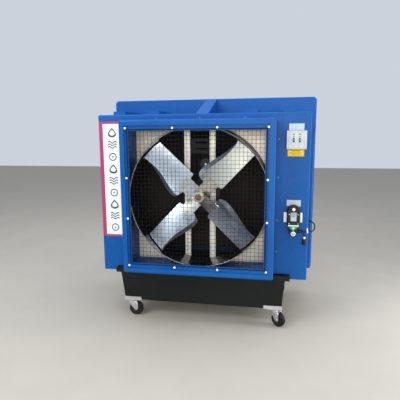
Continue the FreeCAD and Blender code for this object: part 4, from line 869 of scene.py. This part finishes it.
# ------------------------------------------------------------------ casters
# lengths in millimetres; heights are from the floor
AXLE_HEIGHT = 50.5
SWIVEL_RACE = [(103, 6.2), (103, 29), (107, 30), (109, 29.5), (110.5, 27), (112, 27), (113.5, 29.5),
               (115.5, 30), (116.4, 28), (116.4, 6.2)]
AXLE_PIN = [(-21, 0), (-21, 5), (21, 5), (21, 0)]
TREAD = [(-12.5, 34), (-15, 36), (-16, 40), (-15.4, 46), (-13, 49), (-9, 50.3), (-3, 50.5), (-2.4, 49.6),
         (2.4, 49.6), (3, 50.5), (9, 50.3), (13, 49), (15.4, 46), (16, 40), (15, 36), (12.5, 34)]
WHEEL_CORE = [(-15.6, 5.3), (-15.6, 10.5), (-14, 11.5), (-8, 12.5), (-7, 16), (-7, 30), (-10, 33),
              (-12.5, 34.4), (12.5, 34.4), (10, 33), (7, 30), (7, 16), (8, 12.5), (14, 11.5), (15.6, 10.5),
              (15.6, 5.3)]
SPOKE = [(11, -2.2), (33, -1.6), (33, 1.6), (11, 2.2)]
SPOKES = 5
# where a leg starts beside the wheel and how thick it is, and the same for the crease on it
LEG, CREASE, CROWN = (18.2, 2.8), (20.9, 0.9), (103.2, 3.6)
PLATE_BOLTS, PLATE_UNDERSIDE = [(a, b) for a in (-38, 38) for b in (-18, 18)], 117


def make_fork(corner, pivot, axle, across):
    """The yoke that swivels under the plate: race, crown, two pressed legs and the axle's nuts."""
    along = Vector((axle.x - pivot.x, axle.y - pivot.y, 0))
    trail = along.length / MM
    along.normalize()

    def local(a, b, c):
        """Along the fork's trail, across it and up, in millimetres."""
        return Vector((pivot.x, pivot.y, 0)) + along * a * MM + across * b * MM + Vector((0, 0, c * MM))
    build = Build(PLATED, STEEL)
    build.lathe(in_mm(SWIVEL_RACE), (pivot.x, pivot.y, 0), (0, 0, 1), 40, closed=True)
    foot = [(trail + 13 * math.cos(math.radians(a)), AXLE_HEIGHT + 13 * math.sin(math.radians(a)))
            for a in range(190, 361, 17)]
    leg = [(-20, 104), (-19, 92), (-10, 84)] + foot + [(trail + 14, 84), (trail + 12, 98), (trail + 8, 104)]
    crease = [(-8, 100), (-4, 86), (trail - 6, 66), (trail + 2, 68), (trail + 4, 98)]
    for side in (-1, 1):
        for outline, (start, thick), bevel in ((leg, LEG, 0.7 * MM), (crease, CREASE, 0.4 * MM)):
            build.prism(outline, lambda a, b, h: local(a, side * (start + h), b), thick, bevel)
        build.hexagon(local(trail, side * 21.2, AXLE_HEIGHT), across * side, 13 * MM, 5.5 * MM, 1)
    build.prism(rectangle(-20, trail + 8, -20.5, 20.5), lambda a, b, h: local(a, b, CROWN[0] + h), CROWN[1],
                1.2 * MM)
    build.lathe(in_mm(AXLE_PIN), axle, across, 20, 1)
    build.finish("caster_yoke_" + corner, "fork_" + corner, "caster_zinc", "caster_fork_" + corner)
    return along


def make_wheel(corner, axle, across, along):
    """A rubber tyre with a groove, on a core with spokes on both sides."""
    build = Build(RUBBER, HUB_GREY)
    build.lathe(in_mm(TREAD), axle, across, 48, 0, closed=True)
    build.lathe(in_mm(WHEEL_CORE), axle, across, 48, 1, closed=True)
    for i in range(SPOKES):
        turn = Matrix.Rotation(2 * math.pi * i / SPOKES, 3, across)
        out, beside = turn @ along, turn @ across.cross(along)
        for side in (-1, 1):
            build.prism(SPOKE, lambda a, b, h: axle + (out * a + beside * b + across * side * (6.8 + h)) * MM,
                        4.0, 0.6 * MM, 1)
    build.finish("caster_tyre_" + corner, "wheel_" + corner, "caster_tread", "caster_wheel_" + corner)


def make_casters():
    for corner in CORNERS:
        swivel, roll = joint("swivel_" + corner), joint("roll_" + corner)
        pivot, axle = Vector(swivel["pos_m"]), Vector(roll["pos_m"])
        across = Vector(roll["axis"]).normalized()
        along = make_fork(corner, pivot, axle, across)
        make_wheel(corner, axle, across, along)
        bolts = Build(STEEL)
        for a, b in PLATE_BOLTS:
            bolts.hexagon((pivot.x + a * MM, pivot.y + b * MM, PLATE_UNDERSIDE * MM), (0, 0, -1), 11 * MM,
                          5.5 * MM)
        bolts.finish("caster_bolts_" + corner, "cabinet", "caster_zinc")


# ------------------------------------------------------------------ motor
# lengths in millimetres, along from the front of the motor and radius
END_BELL = [(0, 9), (0, 34), (3, 44), (8, 54), (14, 60), (16, 68), (24, 70), (26, 66)]
SHAFT_SEAL = [(-0.6, 9), (-0.6, 24), (0.6, 26), (0.6, 9)]
FIN = [(64, -1.2), (70, -0.9), (70, 0.9), (64, 1.2)]
FINS, FIN_START, FIN_GAP = 36, 34 * MM, 0.12
VENT_HOLE = [(0, 0), (0, 4), (1.4, 3.6), (1.4, 0)]
VENT_HOLES, VENT_CIRCLE, VENT_DEPTH = 12, 55 * MM, 10.5 * MM
FOOT_HALF, FOOT_HEIGHTS = 46 * MM, (60 * MM, 81.8 * MM)
# the terminal box on the side: inner face, first and last depth, half height and its cover's inset
BOX_INNER, BOX_DEPTHS, BOX_HALF, COVER_INSET = 60 * MM, (54 * MM, 134 * MM), 30 * MM, 6 * MM


def make_motor():
    """A finned motor with end bells, a mounting foot and a terminal box."""
    low, high = corners("motor_body")
    length = high.y - low.y
    nose = Vector((0, low.y, joint("motor_spin")["pos_m"][2]))
    back = Vector((0, 1, 0))
    build = Build(MOTOR, PLATED, DARK_PRINT_AND_HOLE_SHADE)
    shell = in_mm(END_BELL)
    shell += [(length - along, radius) for along, radius in shell[::-1]]
    build.lathe(shell, nose, back, 64, closed=True)
    build.lathe(in_mm(SHAFT_SEAL), nose, back, 40, 1, closed=True)
    for i in range(FINS):
        turn = 2 * math.pi * i / FINS
        if abs(math.sin(turn) - 1) < FIN_GAP or abs(math.cos(turn) - 1) < FIN_GAP:
            continue
        out = Vector((math.cos(turn), 0, math.sin(turn)))
        beside = Vector((-math.sin(turn), 0, math.cos(turn)))
        build.prism(in_mm(FIN), lambda a, b, h: nose + back * (FIN_START + h) + out * a + beside * b,
                    length - 2 * FIN_START)
    # each vent hole is a shallow dark disc on the end bell: painted shade in place of an opening
    for i in range(VENT_HOLES):
        turn = 2 * math.pi * i / VENT_HOLES
        out = Vector((math.cos(turn), 0, math.sin(turn)))
        build.lathe(in_mm(VENT_HOLE), nose + back * VENT_DEPTH + out * VENT_CIRCLE, (0, -1, 0), 10, 2)
    build.block(nose + Vector((-FOOT_HALF, FIN_START, FOOT_HEIGHTS[0])),
                nose + Vector((FOOT_HALF, length - FIN_START, FOOT_HEIGHTS[1])), 3 * MM)
    first, last = BOX_DEPTHS
    build.block(nose + Vector((BOX_INNER, first, -BOX_HALF)), nose + Vector((high.x, last, BOX_HALF)), 4 * MM)
    build.block(nose + Vector((high.x - 3 * MM, first + COVER_INSET, COVER_INSET - BOX_HALF)),
                nose + Vector((high.x - 0.2 * MM, last - COVER_INSET, BOX_HALF - COVER_INSET)), 1 * MM, 1)
    build.finish("motor_finned", "cabinet", "motor_paint", "motor_body")


# ------------------------------------------------------------------ pads
PADS, PAD_GAP = 5, 1 * MM
PAD_COLUMNS, PAD_ROWS = 40, 130
# the flutes' pitch across and their climb, as an angle per metre
FLUTE_DEPTH, FLUTE_PITCH, FLUTE_CLIMB = 4.5 * MM, 15.2 * MM, 150


def make_pads():
    """Corrugated paper pads: crossing flutes open on the front and the back face; every other sheet takes a
    darker copy of the paper as painted shade.
    """
    low, high = corners("cooling_pads")
    width = (high.x - low.x - (PADS - 1) * PAD_GAP) / PADS
    build = Build(PAPER, PAPER_PAINTED_SHADE)

    def flute(i, j, across, z):
        if i in (0, PAD_ROWS) or j in (0, PAD_COLUMNS):
            return 0.0
        climb = (1 if (j // 2) % 2 else -1) * z * FLUTE_CLIMB
        return FLUTE_DEPTH * abs(math.sin(math.pi * across / FLUTE_PITCH + climb))
    for k in range(PADS):
        left = low.x + k * (width + PAD_GAP)
        sheets = []
        for y, way in ((low.y, 1), (high.y, -1)):
            grid = []
            for i in range(PAD_ROWS + 1):
                z = low.z + (high.z - low.z) * i / PAD_ROWS
                row = [(j, width * j / PAD_COLUMNS) for j in range(PAD_COLUMNS + 1)]
                grid.append([build.shape.verts.new((left + across, y + way * flute(i, j, across, z), z))
                             for j, across in row])
            sheets.append(grid)
            for i in range(PAD_ROWS):
                for j in range(PAD_COLUMNS):
                    # sheets whose flutes climb the other way take the darker copy of the paper, painted shade
                    build.face((grid[i][j], grid[i][j + 1], grid[i + 1][j + 1], grid[i + 1][j]), (j // 2) % 2)
        build.rim(*sheets)
    build.finish("pads_corrugated", "cabinet", "pad_paper", "cooling_pads", angle=20)


# ------------------------------------------------------------------ glands
# length, radius at the foot and radius at the tip of a ribbed sleeve, in millimetres
SUPPLY_SLEEVE, PLUG_SLEEVE, SHOULDER_SLEEVE = (32, 6.6, 4.3), (11, 4.4, 2.8), (40, 7.0, 4.3)
RIB_PITCH, RIB_DEPTH, SLEEVE_ROOT = 4, 0.7, 2


def sleeve_profile(reach, wide, slim):
    """Ribs that shrink from the foot to the tip, round a bore that the lead fills."""
    bore = slim * 0.9
    ribs = max(3, int(reach / RIB_PITCH))
    step = reach / ribs
    profile = [(-SLEEVE_ROOT, bore), (-SLEEVE_ROOT, wide)]
    for i in range(ribs):
        radius = wide + (slim - wide) * i / ribs
        profile += [(step * i, radius), (step * (i + 0.55), radius),
                    (step * (i + 0.6), radius - RIB_DEPTH), (step * (i + 0.95), radius - RIB_DEPTH)]
    profile += [(reach, slim), (reach, bore)]
    return in_mm(profile)


def make_glands():
    """Tapered, ribbed sleeves where the leads leave the breaker and enter the shoulder."""
    build = Build(RUBBER)
    shoulder = supply_entry() + Vector((0, SHOULDER_GLAND * MM, 0))
    for (origin, axis), sleeve in ((gland_seat(SUPPLY_GLAND), SUPPLY_SLEEVE),
                                   (gland_seat(PLUG_GLAND), PLUG_SLEEVE),
                                   ((shoulder, Vector((0, -1, 0))), SHOULDER_SLEEVE)):
        build.lathe(sleeve_profile(*sleeve), origin, axis, 28, closed=True)
    build.finish("lead_sleeves", "cabinet", "cable_black", "lead_glands")


make_camera()
make_stage()
make_leads()
make_blades()
make_hub_details()
make_ring_lip()
make_grille_caps()
make_banner_print()
make_label_print()
make_breaker_details()
make_casters()
make_motor()
make_pads()
make_glands()
bpy.context.scene.view_settings.view_transform = "Standard"
